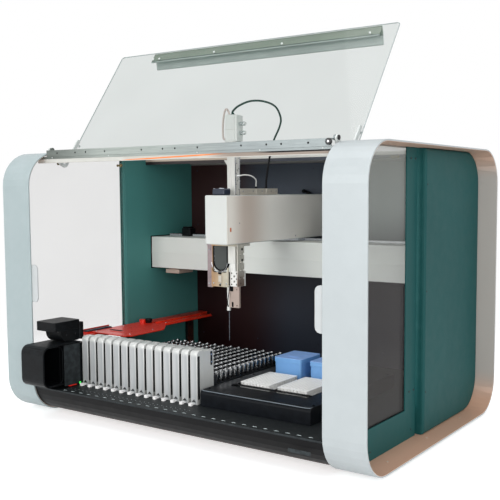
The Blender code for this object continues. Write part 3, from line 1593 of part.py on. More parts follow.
def racks():
    template = rack_template()
    bpy.context.view_layer.update()
    depsgraph = bpy.context.evaluated_depsgraph_get()
    mesh = bpy.data.meshes.new_from_object(template.evaluated_get(depsgraph))
    mesh.name = "rack"
    mesh.transform(template.matrix_world)
    tools = [change.object for change in template.modifiers]
    for item in (template, *tools):
        bpy.data.objects.remove(item, do_unlink=True)
    for index in range(RACK_COUNT):
        place = (RACK_LEFT + index * RACK_PITCH, FRONT + RACK_BACK, ON_DECK)
        add_object(f"rack_{index + 1:02d}", mesh, "rack_grey", place)


# Stage, plates and reagent boxes


def plate_stage():
    """The black stage: a block with a rounded front and the pocket for plates and boxes."""
    near = FRONT + RACK_BACK
    far = near + RACK_LENGTH
    top = ON_DECK + STAGE_HEIGHT
    corners = [
        (near, ON_DECK, 0),
        (far, ON_DECK, 0),
        (far, top, 0),
        (near, top, STAGE_ROUND),
    ]
    item = prism(
        "plate_stage", rounded(corners, 4), "YZ", STAGE_LEFT, STAGE_LEFT + STAGE_WIDTH, "stage_black"
    )
    pocket = rectangle(
        POCKET_LEFT,
        POCKET_LEFT + POCKET_WIDTH,
        FRONT + POCKET_BACK,
        FRONT + POCKET_BACK + POCKET_LENGTH,
        STAGE_ROUND / 2,
    )
    cut(item, prism("stage_pocket", pocket, "XY", top - POCKET_DEPTH, top + OVERRUN, "stage_black"))
    smooth(item)
    return item


def pocket_floor():
    return ON_DECK + STAGE_HEIGHT - POCKET_DEPTH + CLEARANCE


def microplate(name, left):
    """A 96-well plate: a skirt, a narrower body above it and the sunk field of the wells."""
    near = FRONT + MICROPLATE_BACK
    far = near + MICROPLATE_LENGTH
    right = left + MICROPLATE_WIDTH
    floor = pocket_floor()
    top = floor + MICROPLATE_HEIGHT
    skirt = rectangle(left, right, near, far, MICROPLATE_LEDGE, 2)
    item = prism(name, skirt, "XY", floor, floor + MICROPLATE_SKIRT, "plate_white")
    ledge = MICROPLATE_LEDGE
    chamfer = MICROPLATE_CHAMFER
    body = [
        (left + ledge + chamfer, near + ledge),
        (right - ledge, near + ledge),
        (right - ledge, far - ledge),
        (left + ledge + chamfer, far - ledge),
        (left + ledge, far - ledge - chamfer),
        (left + ledge, near + ledge + chamfer),
    ]
    join(item, prism("plate_body", body, "XY", floor + MICROPLATE_SKIRT - BITE, top, "plate_white"))
    rim = ledge + MICROPLATE_RIM
    field = rectangle(left + rim + chamfer / 2, right - rim, near + rim, far - rim, ledge, 2)
    cut(item, prism("plate_field", field, "XY", top - MICROPLATE_RIM, top + OVERRUN, "plate_white"))
    return item


def reagent_box(name, left):
    """A box with rounded corners and a lid that laps over it."""
    near = FRONT + BOX_BACK
    floor = pocket_floor()
    lid_bottom = floor + BOX_HEIGHT - BOX_LID_HEIGHT
    lap = BOX_LID_LAP
    right = left + BOX_WIDTH
    body = rectangle(left + lap, right - lap, near + lap, near + BOX_LENGTH - lap, BOX_ROUND)
    item = prism(name, body, "XY", floor, lid_bottom + BITE, "box_blue")
    cap = rectangle(left, right, near, near + BOX_LENGTH, BOX_ROUND)
    cover = prism("box_lid", cap, "XY", lid_bottom, floor + BOX_HEIGHT, "box_blue")
    soften(cover, BOX_EDGE)
    join(item, cover)
    return item


# Scanner and red transport


def scanner_cover():
    """A wrap with a rounded front, open to the right, with a set-back side at its rear."""
    near = FRONT - SCANNER_REACH
    far = near + SCANNER_LENGTH
    top = SCANNER_BOTTOM + SCANNER_HEIGHT
    right = SCANNER_LEFT + SCANNER_WIDTH
    outline = rounded(
        [
            (near, SCANNER_BOTTOM, SCANNER_ROUND),
            (far, SCANNER_BOTTOM, 0),
            (far, top, 0),
            (near, top, SCANNER_ROUND),
        ],
        5,
    )
    item = prism("scanner_cover", outline, "YZ", SCANNER_LEFT, right, "scanner_black")
    wall = SCANNER_WALL
    inner_round = SCANNER_ROUND - wall
    cavity_far = near + SCANNER_CAVITY_LENGTH
    cavity = rounded(
        [
            (near + wall, SCANNER_BOTTOM + wall, inner_round),
            (cavity_far, SCANNER_BOTTOM + wall, 0),
            (cavity_far, top - wall, 0),
            (near + wall, top - wall, inner_round),
        ],
        5,
    )
    front_cavity = prism(
        "scanner_cavity", cavity, "YZ", SCANNER_LEFT + wall, right + OVERRUN, "scanner_black"
    )
    recess = box(
        "scanner_recess",
        (right - SCANNER_RECESS, cavity_far - BITE, SCANNER_BOTTOM + wall),
        (right + OVERRUN, far - wall, top - wall),
        "scanner_black",
    )
    cut(item, front_cavity, recess)
    inset = SCANNER_FOOT_INSET
    pedestal = box(
        "scanner_foot",
        (SCANNER_LEFT + inset, cavity_far - inset, ON_DECK),
        (right - SCANNER_RECESS - inset, far - inset, SCANNER_BOTTOM + BITE),
        "scanner_black",
    )
    join(item, pedestal)
    smooth(item)
    return item


def scanner_head():
    """The head plate on a half-round neck, with a block behind the neck."""
    near = FRONT + HEAD_BACK
    far = near + HEAD_LENGTH
    right = HEAD_LEFT + HEAD_WIDTH
    plate = rounded(
        [
            (HEAD_LEFT, near, HEAD_ROUND),
            (right, near, HEAD_ROUND),
            (right, far, HEAD_EDGE),
            (HEAD_LEFT, far, HEAD_EDGE),
        ],
        4,
    )
    item = prism("scanner_head", plate, "XY", HEAD_BOTTOM, HEAD_BOTTOM + HEAD_HEIGHT, "scanner_black")
    soften(item, HEAD_EDGE)
    middle = HEAD_LEFT + HEAD_WIDTH / 2
    neck_y = near + NECK_RADIUS + HEAD_EDGE
    seat = SCANNER_BOTTOM + SCANNER_HEIGHT + CLEARANCE
    turns = [math.pi * step / 6 for step in range(7)]
    half_disc = [
        (middle - NECK_RADIUS * math.cos(a), neck_y - NECK_RADIUS * math.sin(a)) for a in turns
    ]
    outline = half_disc + [
        (middle + NECK_RADIUS, neck_y + NECK_BLOCK),
        (middle - NECK_RADIUS, neck_y + NECK_BLOCK),
    ]
    join(item, prism("scanner_neck", outline, "XY", seat, HEAD_BOTTOM + BITE, "scanner_black"))
    return item


def red_rail():
    """The transport's rail along the left wall, on two legs, with a strip beside the plate."""
    near = FRONT + RED_RAIL_BACK
    top = RED_TOP - RED_SHEET - CLEARANCE
    bottom = top - RED_RAIL_HEIGHT
    low = (RED_RAIL_LEFT, near, bottom)
    item = box(
        "red_rail", low, (RED_RAIL_LEFT + RED_RAIL_WIDTH, near + RED_RAIL_LENGTH, top), "transport_red"
    )
    legs = []
    for back in RED_LEG_BACKS:
        leg_low = (RED_RAIL_LEFT, FRONT + back, ON_DECK)
        leg_high = (RED_RAIL_LEFT + RED_LEG_WIDTH, FRONT + back + RED_LEG_LENGTH, bottom + BITE)
        legs.append((leg_low, leg_high))
    strip_low = (RED_RAIL_LEFT, FRONT + RED_STRIP_BACK, top - BITE)
    strip_high = (
        RED_LEFT - RUN_GAP, FRONT + RED_STRIP_BACK + RED_STRIP_LENGTH, RED_TOP
    )
    join(
        item,
        cubes("red_legs", legs, "transport_red"),
        box("red_strip", strip_low, strip_high, "transport_red"),
    )
    return item


def red_carriage():
    """The transport's plate: a tapered rear, a bar to the back, a notch, a slot and a knob."""
    near = FRONT + RED_BACK
    far = near + RED_LENGTH
    bar_end = far + RED_BAR_LENGTH
    corners = [
        (RED_LEFT, near, RED_CORNER),
        (RED_RIGHT - RED_NOTCH, near, 0),
        (RED_RIGHT - RED_NOTCH, near + RED_NOTCH, 0),
        (RED_RIGHT, near + RED_NOTCH, 0),
        (RED_RIGHT, far - RED_TAPER, RED_CORNER),
        (RED_BAR_RIGHT, far, 0),
        (RED_BAR_RIGHT, bar_end, RED_CORNER),
        (RED_BAR_LEFT, bar_end, RED_CORNER),
        (RED_BAR_LEFT, far, 0),
        (RED_LEFT, far, RED_CORNER),
    ]
    plate_bottom = RED_TOP - RED_SHEET
    slot_left = RED_BAR_LEFT - RED_NOTCH
    slot_near = near + RED_TAPER / 2
    slot = rectangle(slot_left, slot_left + RED_SLOT_WIDTH, slot_near, slot_near + RED_SLOT_LENGTH)
    item = prism(
        "red_carriage", rounded(corners, 2), "XY", plate_bottom, RED_TOP, "transport_red", [slot]
    )
    rail_right = RED_RAIL_LEFT + RED_RAIL_WIDTH
    lip = box(
        "red_lip",
        (rail_right + CLEARANCE, near + RED_CORNER, plate_bottom - RED_LIP_HEIGHT),
        (rail_right + RED_SHEET, far - RED_CORNER, plate_bottom + BITE),
        "transport_red",
    )
    knob_x = RED_LEFT + 2 * RED_KNOB_RADIUS
    knob_y = far - 2 * RED_KNOB_RADIUS
    knob = rods(
        "red_knob",
        [((knob_x, knob_y, RED_TOP - BITE), (knob_x, knob_y, RED_TOP + RED_KNOB_HEIGHT))],
        RED_KNOB_RADIUS,
        "transport_red",
    )
    join(item, lip, knob)
    return item


# Assembly


def build_cabinet():
    for side, word in ((-1, "left"), (1, "right")):
        post_back = RIGHT_POST_BACK if side > 0 else LEFT_POST_BACK
        post_width = RIGHT_POST_WIDTH if side > 0 else LEFT_POST_WIDTH
        band(f"{word}_band", side)
        side_frame(f"{word}_side_frame", side, post_back, post_width)
        window(f"{word}_window", side, post_back)
        side_cover(f"{word}_rear_cover", side)
        foot(f"{word}_foot", side)
        catch(f"{word}_catch", side)
    base_housing()
    deck()
    inner_back_panel()
    rear_cover()
    power_inlet()
    power_switch()
    front_rail()
    lid()


def build_gantry():
    x_beam()
    x_guide_rail()
    arm = [x_trolley(), arm_cover(), arm_plate(), y_motor()]
    arm.append(tube("mast_cable", CABLE_ROUTE, CABLE_RADIUS, "cable_black"))
    arm.append(tube("loop_tube", LOOP_ROUTE, LOOP_RADIUS, "tube_white"))
    slide_frame("arm_slide", (0, FRONT + GUIDE_BACK + GUIDE_WIDTH / 2, BEAM_TOP), arm)
    mast_middle = (MAST_LEFT + MAST_RIGHT) / 2
    mast_y = FRONT + MAST_BACK + MAST_DEEP / 2
    carriage = [z_mast(), mast_top_block(), z_bracket(), z_belt()]
    slide_frame("carriage_slide", (mast_middle, mast_y, YOKE_TOP), carriage)
    slide_frame("needle_slide", (mast_middle, mast_y, MAST_BOTTOM), [needle_holder(), needle()])


def build_load():
    racks()
    plate_stage()
    for word, plate_left, box_left in zip(("left", "right"), PLATE_X, BOX_X):
        microplate(f"microplate_{word}", plate_left)
        reagent_box(f"reagent_box_{word}", box_left)
    scanner_cover()
    scanner_head()
    red_rail()
    slide_frame("red_slide", (RED_RAIL_LEFT, FRONT + RED_BACK, RED_TOP), [red_carriage()])


clear_scene()
PARTS = new_collection("blood_grouping_analyzer")
CUTTERS = new_collection("cutters")
build_cabinet()
build_gantry()
build_load()
bpy.context.view_layer.update()
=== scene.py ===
import json
import math

import bmesh
import bpy
from mathutils import Matrix, Vector


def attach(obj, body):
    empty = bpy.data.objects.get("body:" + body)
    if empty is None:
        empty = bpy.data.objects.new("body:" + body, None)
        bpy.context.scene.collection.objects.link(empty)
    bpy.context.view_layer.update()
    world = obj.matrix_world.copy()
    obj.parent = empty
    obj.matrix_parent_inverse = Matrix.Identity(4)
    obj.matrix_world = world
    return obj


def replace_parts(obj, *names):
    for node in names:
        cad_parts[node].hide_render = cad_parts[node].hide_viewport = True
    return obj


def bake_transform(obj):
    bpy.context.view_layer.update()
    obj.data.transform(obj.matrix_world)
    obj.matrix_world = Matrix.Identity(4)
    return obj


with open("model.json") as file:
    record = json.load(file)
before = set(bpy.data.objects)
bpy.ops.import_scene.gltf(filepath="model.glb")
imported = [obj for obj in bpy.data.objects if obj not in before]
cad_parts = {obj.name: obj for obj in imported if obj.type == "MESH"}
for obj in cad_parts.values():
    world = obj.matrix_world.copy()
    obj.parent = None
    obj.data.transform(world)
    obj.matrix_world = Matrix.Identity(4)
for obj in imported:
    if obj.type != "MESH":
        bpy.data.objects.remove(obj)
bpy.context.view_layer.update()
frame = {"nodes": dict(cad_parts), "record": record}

NODES = frame["nodes"]

# Directions
SIDES = (-1, 1)
RIGHT = (1, 0, 0)
AHEAD, BEHIND = (0, -1, 0), (0, 1, 0)
UP, DOWN = (0, 0, 1), (0, 0, -1)
QUARTER = math.pi / 2
# Edges that turn by more than these degrees are softened or shaded sharp
SLIGHT_TURN, CLEAR_TURN = 32, 40

# Lengths are in millimetres, apart from those of the blends, the camera, the lights and the floor
MM = 0.001

# Faces and lines of the solids that the details stand on
FRONT, BACK = -336.5, 375.5
DECK = 79.7
ROOF = 672.6
REAR_FACE = 371.1
SIDE_WALL = 464.6
CHAMBER = 454.8
RACK_LEFT, RACK_Y, RACK_FLOOR = -342.2, -250.5, 80
RACK_PITCH, RACK_COUNT = 27.85, 14
RACK_WIDTH, RACK_TOP = 21, 126.5
FIRST_TUBE, TUBE_PITCH, TUBE_COUNT = 74, 18.5, 16
MICROPLATE_X, BOX_X = (91, 196), (93.6, 198)
STAGE_EDGE = 116.8
HINGE = Vector((0, -266, 683))
LID_OPEN = -215
BEAM_FACE = 139.7
BACK_WALL = 329.4
GUIDE_STOP_X = -380
ARM_LEFT, ARM_RIGHT = -21.9, 44.9
MAST_RIGHT, MAST_Y = 29.05, -72
BRACKET_FACE, BELT_X = -88.1, -17.5
SCANNER_SIDE = -360.1
RED_TOP = 193
FAN = (-240, 364, 220)


# Materials

MATERIALS = {}


def lin(red, green, blue):
    """A linear colour from screen values of 0 to 255."""
    values = []
    for value in (red / 255, green / 255, blue / 255):
        values.append(value / 12.92 if value <= 0.04045 else ((value + 0.055) / 1.055) ** 2.4)
    return (*values, 1.0)


def shade(colour, factor):
    return (*[min(1.0, part * factor) for part in colour[:3]], 1.0)


class Field:
    """A node tree with short names for its maths; x, y and z are object coordinates in millimetres."""

    def __init__(self, owner):
        owner.use_nodes = True
        self.tree = owner.node_tree
        if isinstance(owner, bpy.types.Material):
            self.where = self.node("TexCoord").outputs["Object"]
            scaled = self.node("VectorMath", {0: self.where, 3: 1 / MM}, operation="SCALE").outputs[0]
            self.x, self.y, self.z = self.node("SeparateXYZ", {0: scaled}).outputs

    def feed(self, item, inputs):
        for key, value in inputs.items():
            if isinstance(value, bpy.types.NodeSocket):
                self.tree.links.new(value, item.inputs[key])
            else:
                item.inputs[key].default_value = value

    def node(self, kind, inputs=None, **settings):
        made = self.tree.nodes.new("ShaderNode" + kind)
        for name, value in settings.items():
            setattr(made, name, value)
        self.feed(made, inputs or {})
        return made

    def noise(self, scale, detail=3.0, stretch=None):
        """A noise value from 0 to 1; stretch scales the three axes for a grain that runs one way."""
        where = self.where
        if stretch:
            where = self.node("Mapping", {"Vector": where, "Scale": stretch}).outputs[0]
        inputs = {"Vector": where, "Scale": scale, "Detail": detail, "Roughness": 0.55}
        return self.node("TexNoise", inputs).outputs[0]

    def ramp(self, value, low, high, to_low=0.0, to_high=1.0, kind="SMOOTHSTEP"):
        inputs = {"Value": value, "From Min": low, "From Max": high, "To Min": to_low, "To Max": to_high}
        return self.node("MapRange", inputs, interpolation_type=kind).outputs[0]

    def spread(self, noise, to_low=0.0, to_high=1.0):
        """Noise mostly lies between 0.3 and 0.7; this stretches it to the full range."""
        return self.ramp(noise, 0.3, 0.7, to_low, to_high)

    def fall(self, value, low, high):
        return self.ramp(value, low, high, 1.0, 0.0)

    def rise_sharp(self, value, low, high):
        return self.ramp(value, low, high, 0.0, 1.0, "LINEAR")

    def fall_sharp(self, value, low, high):
        return self.ramp(value, low, high, 1.0, 0.0, "LINEAR")

    def along(self, value, low, high, first, second):
        """The first colour up to the low value, the second from the high one on."""
        return self.mix(self.ramp(value, low, high), first, second)

    def maths(self, operation, first, second=0.0):
        return self.node("Math", {0: first, 1: second}, operation=operation).outputs[0]

    def times(self, first, second):
        return self.maths("MULTIPLY", first, second)

    def less(self, first, second):
        return self.maths("SUBTRACT", first, second)

    def off(self, value, middle):
        return self.maths("ABSOLUTE", self.less(value, middle))

    def mix(self, share, first, second, blend="MIX"):
        """Colours are sockets, screen values (three numbers) or linear values (four numbers)."""
        first, second = (
            lin(*colour) if isinstance(colour, tuple) and len(colour) == 3 else colour
            for colour in (first, second)
        )
        inputs = {0: share, 6: first, 7: second}
        return self.node("Mix", inputs, data_type="RGBA", blend_type=blend).outputs[2]


def finish(
    name, colour, rough=0.45, metal=0.0, mottle=0.06, mottle_scale=7.0, grain=0.05, grain_scale=1500.0,
    depth=20, streak=None, wear_and_highlight=0.0, worn_and_highlight_colour=None, specular=0.5, second=None, light=0.0,
):
    """A surface with cloudy colour, a grained roughness, a bump of some micrometres and lighter edges, which
    stand partly for rubbed paint and partly for a painted highlight.
    """
    colour = lin(*colour)
    made = bpy.data.materials.new(name)
    f = Field(made)
    shader = f.tree.nodes["Principled BSDF"]
    fine = f.noise(grain_scale, 2.0, streak)
    middle = f.noise(mottle_scale * 9, 4.0)
    base = second(f) if second else colour
    dark = f.mix(1.0, base, shade((1, 1, 1), 1 - mottle), "MULTIPLY")
    paint = f.mix(f.spread(f.noise(mottle_scale)), dark, base)
    if streak:
        soft = f.mix(1.0, paint, (0.86, 0.86, 0.86, 1), "MULTIPLY")
        paint = f.mix(f.ramp(fine, 0.35, 0.65), soft, paint)
    # Edges lightened by pointiness: partly rubbed paint, partly a painted highlight along the edges
    if wear_and_highlight:
        edge = f.ramp(f.node("NewGeometry").outputs["Pointiness"], 0.52, 0.6)
        share = f.times(edge, f.ramp(middle, 0.35, 0.7, 0.2 * wear_and_highlight, wear_and_highlight))
        paint = f.mix(share, paint, worn_and_highlight_colour or shade(colour, 1.6))
    both = f.maths("ADD", f.times(fine, 0.5), f.times(middle, 0.5))
    bump = f.node("Bump", {"Strength": 1.0, "Distance": depth * 1e-6, "Height": fine})
    f.feed(shader, {
        "Base Color": paint, "Metallic": metal, "Specular IOR Level": specular, "Normal": bump.outputs[0],
        "Roughness": f.spread(both, max(0.02, rough - grain), min(1.0, rough + grain)),
    })
    if light:
        f.feed(shader, {"Emission Color": colour, "Emission Strength": light})
    made.diffuse_color = colour
    MATERIALS[name] = made


def clear(name, colour, alpha, film=None):
    """A clear sheet: a thin film that dims what lies behind it, denser towards its edges."""
    colour = lin(*colour)
    made = bpy.data.materials.new(name)
    f = Field(made)
    cloud = f.noise(3.0)
    body = f.spread(cloud, alpha * 0.93, alpha * 1.07)
    paint = f.mix(f.spread(cloud), colour, shade(colour, 0.85))
    if film:
        paint, body = film(f, paint, body)
    facing = f.node("LayerWeight", {"Blend": 0.35}).outputs["Facing"]
    rim = f.times(f.maths("POWER", facing, 4.0), 0.4)
    f.feed(f.tree.nodes["Principled BSDF"], {
        "Base Color": paint, "Alpha": f.maths("ADD", body, rim), "Specular IOR Level": 0.5,
        "Roughness": f.spread(f.noise(60.0), 0.024, 0.064),
    })
    made.diffuse_color = (*colour[:3], alpha)
    MATERIALS[name] = made


def right_window_film(f, paint, body):
    """The upper half of the right window mirrors a pale room; the lower half stays dark."""
    share = f.times(f.ramp(f.z, 360, 560), f.ramp(f.x, 300, 400))
    return f.mix(share, paint, (150, 156, 150)), f.maths("ADD", body, f.times(share, 0.22))


def band_colours(f):
    """Silver outside, with painted shade that darkens the left band; inside the loop a warm grey that turns
    to copper near the base and roof as a painted warm reflection.
    """
    half_y, half_z, radius = 356, 335.5, 86
    past_y = f.maths("MAXIMUM", f.less(f.off(f.y, (FRONT + BACK) / 2), half_y - radius))
    past_z = f.maths("MAXIMUM", f.less(f.off(f.z, 6 + half_z), half_z - radius))
    reach = f.maths("SQRT", f.maths("ADD", f.times(past_y, past_y), f.times(past_z, past_z)))
    inside = f.fall_sharp(reach, radius - 3.7, radius - 3)
    # Painted warm reflection near the base and roof
    warm = f.maths("MAXIMUM", f.fall(f.z, 20, 110), f.ramp(f.z, 600, 668, 0.0, 0.8))
    lining = f.mix(warm, (196, 190, 184), (222, 178, 152))
    # Painted shade: the left band is darker than the right
    outside = f.along(f.x, -300, 300, (164, 178, 180), (181, 188, 190))
    return f.mix(inside, outside, lining)


def dark_wall(f):
    """Blue-black on the right that turns to brown-black on the left, with painted shade that makes it deeper
    below the beam.
    """
    upper = f.along(f.x, -300, -170, (58, 36, 36), (64, 72, 84))
    lower = f.along(f.x, -260, -80, (40, 18, 20), (40, 45, 56))
    # Painted shade: darker below the beam
    return f.along(f.z, 380, 420, lower, upper)


def green_sides(f):
    """Painted light and shade: the left side, seen from inside the chamber, is a little lighter than the
    right one.
    """
    return f.along(f.x, -200, 200, (74, 134, 130), (20, 79, 79))


def arm_tones(f):
    """White, with painted light and shade: the arm's long side takes a warm tone with a brownish zone near
    its front.
    """
    front = f.along(f.y, -130, -60, (250, 245, 236), (214, 200, 188))
    tone = f.along(f.y, -50, 60, front, (255, 252, 244))
    side = f.times(f.rise_sharp(f.x, 44, 44.9), f.rise_sharp(f.z, 439.5, 440.5))
    other = f.along(f.y, 100, 130, (210, 213, 210), (228, 232, 227))
    return f.mix(side, other, tone)


def fascia(f):
    """Black, with a warm reflection of the table along the foot."""
    return f.along(f.z, 10, 24, (110, 60, 38), (11, 11, 13))


def rail_colours(f):
    """The rail mirrors a dark corner on the left and the pale room on the right."""
    left = f.along(f.x, -420, -200, (112, 119, 114), (168, 176, 171))
    return f.along(f.x, -150, 250, left, (150, 158, 159))


def cover_colours(f):
    """White outside, with painted grey shade on every face but the top and the back; the lip over the
    chamber mirrors the warm floor on the left and is painted dark with shade below.
    """
    upper = f.along(f.x, -160, -20, (190, 176, 160), (214, 214, 208))
    # Painted shade: the lip is dark below
    lower = f.along(f.x, -200, 100, (40, 34, 34), (52, 58, 68))
    lip = f.mix(f.rise_sharp(f.z, 662.5, 664), lower, upper)
    # Painted shade: all faces but the top and the back are grey
    inner = f.times(f.fall_sharp(f.z, 671.2, 671.6), f.fall_sharp(f.y, 360, 361))
    body = f.mix(inner, (222, 223, 220), (150, 147, 144))
    return f.mix(f.fall_sharp(f.y, 122.6, 123.4), body, lip)


def handle_colours(f):
    """The grip is olive in its upper half and grey below, with a dark line between."""
    halves = f.along(f.z, 927, 930, (196, 203, 200), (158, 165, 152))
    return f.mix(f.fall(f.off(f.z, 929), 0.6, 1.6), halves, (84, 90, 86))


def bracket_colours(f):
    """Mauve grey on the left plate, bronze in front, pale on the perforated side plate."""
    front = f.along(f.x, -45, 5, (190, 152, 112), (196, 190, 172))
    side = f.along(f.z, 345, 390, (150, 132, 120), (206, 202, 192))
    face = f.mix(f.fall_sharp(f.x, -44, -42.5), front, (158, 142, 144))
    return f.mix(f.rise_sharp(f.x, 35.5, 36.2), face, side)


def holder_colours(f):
    """A white drilled block over a beige guide plate with a white strip."""
    share = f.times(f.fall_sharp(f.z, 338.5, 339.5), f.rise_sharp(f.x, 2.2, 2.8))
    return f.mix(share, (232, 232, 228), (178, 160, 150))


def box_tones(f):
    """Sky blue sides and a paler, more violet lid."""
    return f.along(f.z, 158.5, 159.7, (124, 178, 236), (150, 190, 250))


def red_colours(f):
    """Red above; the legs under the rail are dark."""
    return f.along(f.z, 179.5, 180.5, (22, 20, 22), (226, 44, 26))


def rack_colours(f):
    """Satin grey, with painted highlights as bright rims down both sides of the front bar and round its top,
    painted shade on the bar's right part, and darker towards the bottom.
    """
    front = f.fall(f.y, 1.6, 3)
    middle = f.fall(f.off(f.x, RACK_WIDTH / 2), 7, 8.8)
    # The middle of the front bar, inside the painted highlights
    face_inside_highlights = f.times(f.times(front, middle), f.fall(f.z, 110, 120))
    # Painted shade: the bar's face is darker to its right
    face = f.along(f.x, 4, 18, (190, 192, 193), (166, 170, 172))
    tone = f.along(f.z, 10, 110, (178, 180, 178), (208, 210, 208))
    return f.mix(face_inside_highlights, tone, face)


def channel_colours(f):
    """The folded channel under the rail: a tapering warm reflection, then the brown of the chamber."""
    height = f.less(f.z, f.times(f.maths("ADD", f.x, 135), 0.024))
    line = f.times(f.ramp(height, 649.2, 650.2), f.fall(height, 652.2, 653.2))
    warm = f.mix(line, (200, 198, 190), (236, 134, 66))
    left = f.along(f.x, -165, -135, (206, 206, 200), warm)
    body = f.along(f.x, 80, 170, left, (150, 138, 128))
    low = f.mix(f.fall(f.z, 650.6, 651.6), body, (200, 198, 192))
    high = f.times(f.ramp(f.z, 656, 656.6), f.ramp(f.x, 220, 280))
    return f.mix(high, low, (20, 20, 22))


def guide_colours(f):
    """Bright steel; the stop at the guide's left end is black."""
    return f.mix(f.fall_sharp(f.off(f.x, GUIDE_STOP_X), 21, 22), (198, 202, 206), (14, 15, 18))


def make_materials():
    """Name, screen colour, roughness, metal, mottle and its scale, grain and its scale, bump depth."""
    along_x, along_z = (0.04, 1.0, 1.0), (1.0, 1.0, 0.05)
    finish(
        "band_silver", (203, 211, 215), 0.42, 0.1, 0.03, 3, 0.05, 2200, 12, wear_and_highlight=0.2,
        worn_and_highlight_colour=(232, 238, 240), second=band_colours, specular=0.35,
    )
    finish(
        "cabinet_green", (54, 100, 99), 0.55, 0, 0.08, 4, 0.05, 1700, 30, wear_and_highlight=0.15,
        worn_and_highlight_colour=(84, 132, 130), second=green_sides, specular=0.2,
    )
    clear("window_clear", (112, 110, 104), 0.125)
    # The right window is the same clear sheet as the left; its darker, browner film is a painted reflection
    clear("window_right", (70, 62, 58), 0.2, right_window_film)
    clear("lid_clear", (44, 96, 82), 0.16)
    finish("base_black", (12, 12, 14), 0.46, 0, 0.1, 6, 0.06, 1500, 10, second=fascia, specular=0.12)
    finish("arm_black", (26, 26, 28), 0.4, 0, 0.12, 20, 0.06, wear_and_highlight=0.4)
    finish(
        "deck_black", (26, 30, 32), 0.5, 0.1, 0.12, 8, 0.06, 2400, 30, wear_and_highlight=0.3,
        worn_and_highlight_colour=(90, 100, 104), specular=0.22,
    )
    finish("inner_dark", (48, 56, 68), 0.4, 0, 0.14, 5, 0.06, 1200, 20, second=dark_wall, specular=0.25)
    finish("cover_white", (222, 223, 220), 0.48, 0, 0.04, 5, 0.05, 1600, 50, second=cover_colours)
    finish("aluminium", (214, 220, 221), 0.34, 0.65, 0.05, 12, 0.07, 420, 12, along_x)
    finish(
        "rail_silver", (190, 197, 196), 0.36, 0.35, 0.05, 12, 0.07, 420, 12, along_x,
        second=rail_colours, specular=0.35,
    )
    finish("lid_arm_grey", (214, 219, 217), 0.4, 0.1, 0.06, 20, 0.07, 420, 12, along_z)
    finish("rubber_black", (28, 28, 28), 0.85, 0, 0.15, 14, 0.05, 900, 100)
    finish("inlet_black", (34, 34, 35), 0.45, 0, 0.1, 20, 0.06, 1500, 30)
    finish("arm_white", (232, 231, 227), 0.46, 0, 0.04, 5, 0.05, 1600, 30, second=arm_tones, specular=0.3)
    finish("steel", (198, 202, 206), 0.24, 0.95, 0.06, 30, 0.06, 500, 10, (0.08, 1.0, 1.0))
    finish("chrome", (214, 216, 218), 0.14, 1.0, 0.08, 60, 0.05, 900, 5)
    finish("motor_dark", (34, 42, 58), 0.42, 0.1, 0.1, 20, 0.06, wear_and_highlight=0.4)
    finish("plate_beige", (204, 198, 186), 0.42, 0.25, 0.05, 14, 0.06, 600, 10, (1.0, 0.06, 1.0))
    finish(
        "bracket_bronze", (176, 158, 132), 0.36, 0.45, 0.2, 26, 0.1, 500, 10, (1.0, 1.0, 0.08),
        second=bracket_colours,
    )
    finish("mast_white", (226, 226, 220), 0.38, 0.15, 0.04, 12, 0.06, 800, 10, along_z)
    finish("block_white", (250, 250, 247), 0.4, 0, 0.04, 20, 0.05, 1500, 10)
    finish("holder_white", (232, 232, 228), 0.38, 0.1, 0.05, 20, 0.06, 900, 10, second=holder_colours)
    finish("cable_black", (11, 12, 15), 0.46, 0, 0.12, 60, 0.08, 2500, 20, specular=0.15)
    finish("belt_cover_dark", (56, 61, 59), 0.4, 0, 0.1, 30, 0.06)
    finish("tube_white", (232, 232, 228), 0.3, 0, 0.05, 40, 0.05, 2500, 10)
    finish("rack_grey", (208, 210, 208), 0.32, 0.1, 0.03, 22, 0.05, 1500, 3, second=rack_colours)
    finish(
        "channel_tones", (206, 206, 200), 0.4, 0.1, 0.06, 20, 0.06, 420, 12, second=channel_colours,
        specular=0.2,
    )
    finish("guide_steel", (198, 202, 206), 0.3, 0.4, 0.06, 30, 0.06, 500, 10, second=guide_colours)
    finish("rack_foot", (255, 255, 254), 0.35, 0, 0.03, 30, 0.05, 1500, 10)
    finish("rack_slot", (30, 31, 33), 0.5, 0, 0.1, 40, 0.05, 1500, 10)
    # The stage's lighter edges are a faint painted highlight
    finish(
        "stage_black", (7, 10, 15), 0.4, 0, 0.06, 7, 0.05, 1900, 10, wear_and_highlight=0.05, worn_and_highlight_colour=(80, 92, 106),
        specular=0.13,
    )
    finish("plate_white", (250, 250, 248), 0.3, 0, 0.04, 40, 0.05, 1500, 10)
    finish("painted_well_shade", (196, 198, 196), 0.34, 0, 0.06, 60, 0.05, 1500, 10)
    finish("box_blue", (128, 178, 236), 0.4, 0, 0.06, 16, wear_and_highlight=0.2, second=box_tones)
    # The scanner's lighter edges are painted highlights
    finish(
        "scanner_black", (6, 7, 9), 0.44, 0, 0.1, 12, 0.07, 1900, 20, wear_and_highlight=0.3, worn_and_highlight_colour=(60, 68, 72),
        specular=0.13,
    )
    finish("stage_edge_highlight", (118, 128, 136), 0.34, 0.1, 0.1, 30, 0.06, 1500, 10)
    finish("needle_steel", (104, 110, 118), 0.26, 0.8, 0.1, 60, 0.06, 900, 4)
    finish("bracket_beige", (206, 186, 172), 0.4, 0.2, 0.1, 40, 0.06, 900, 10)
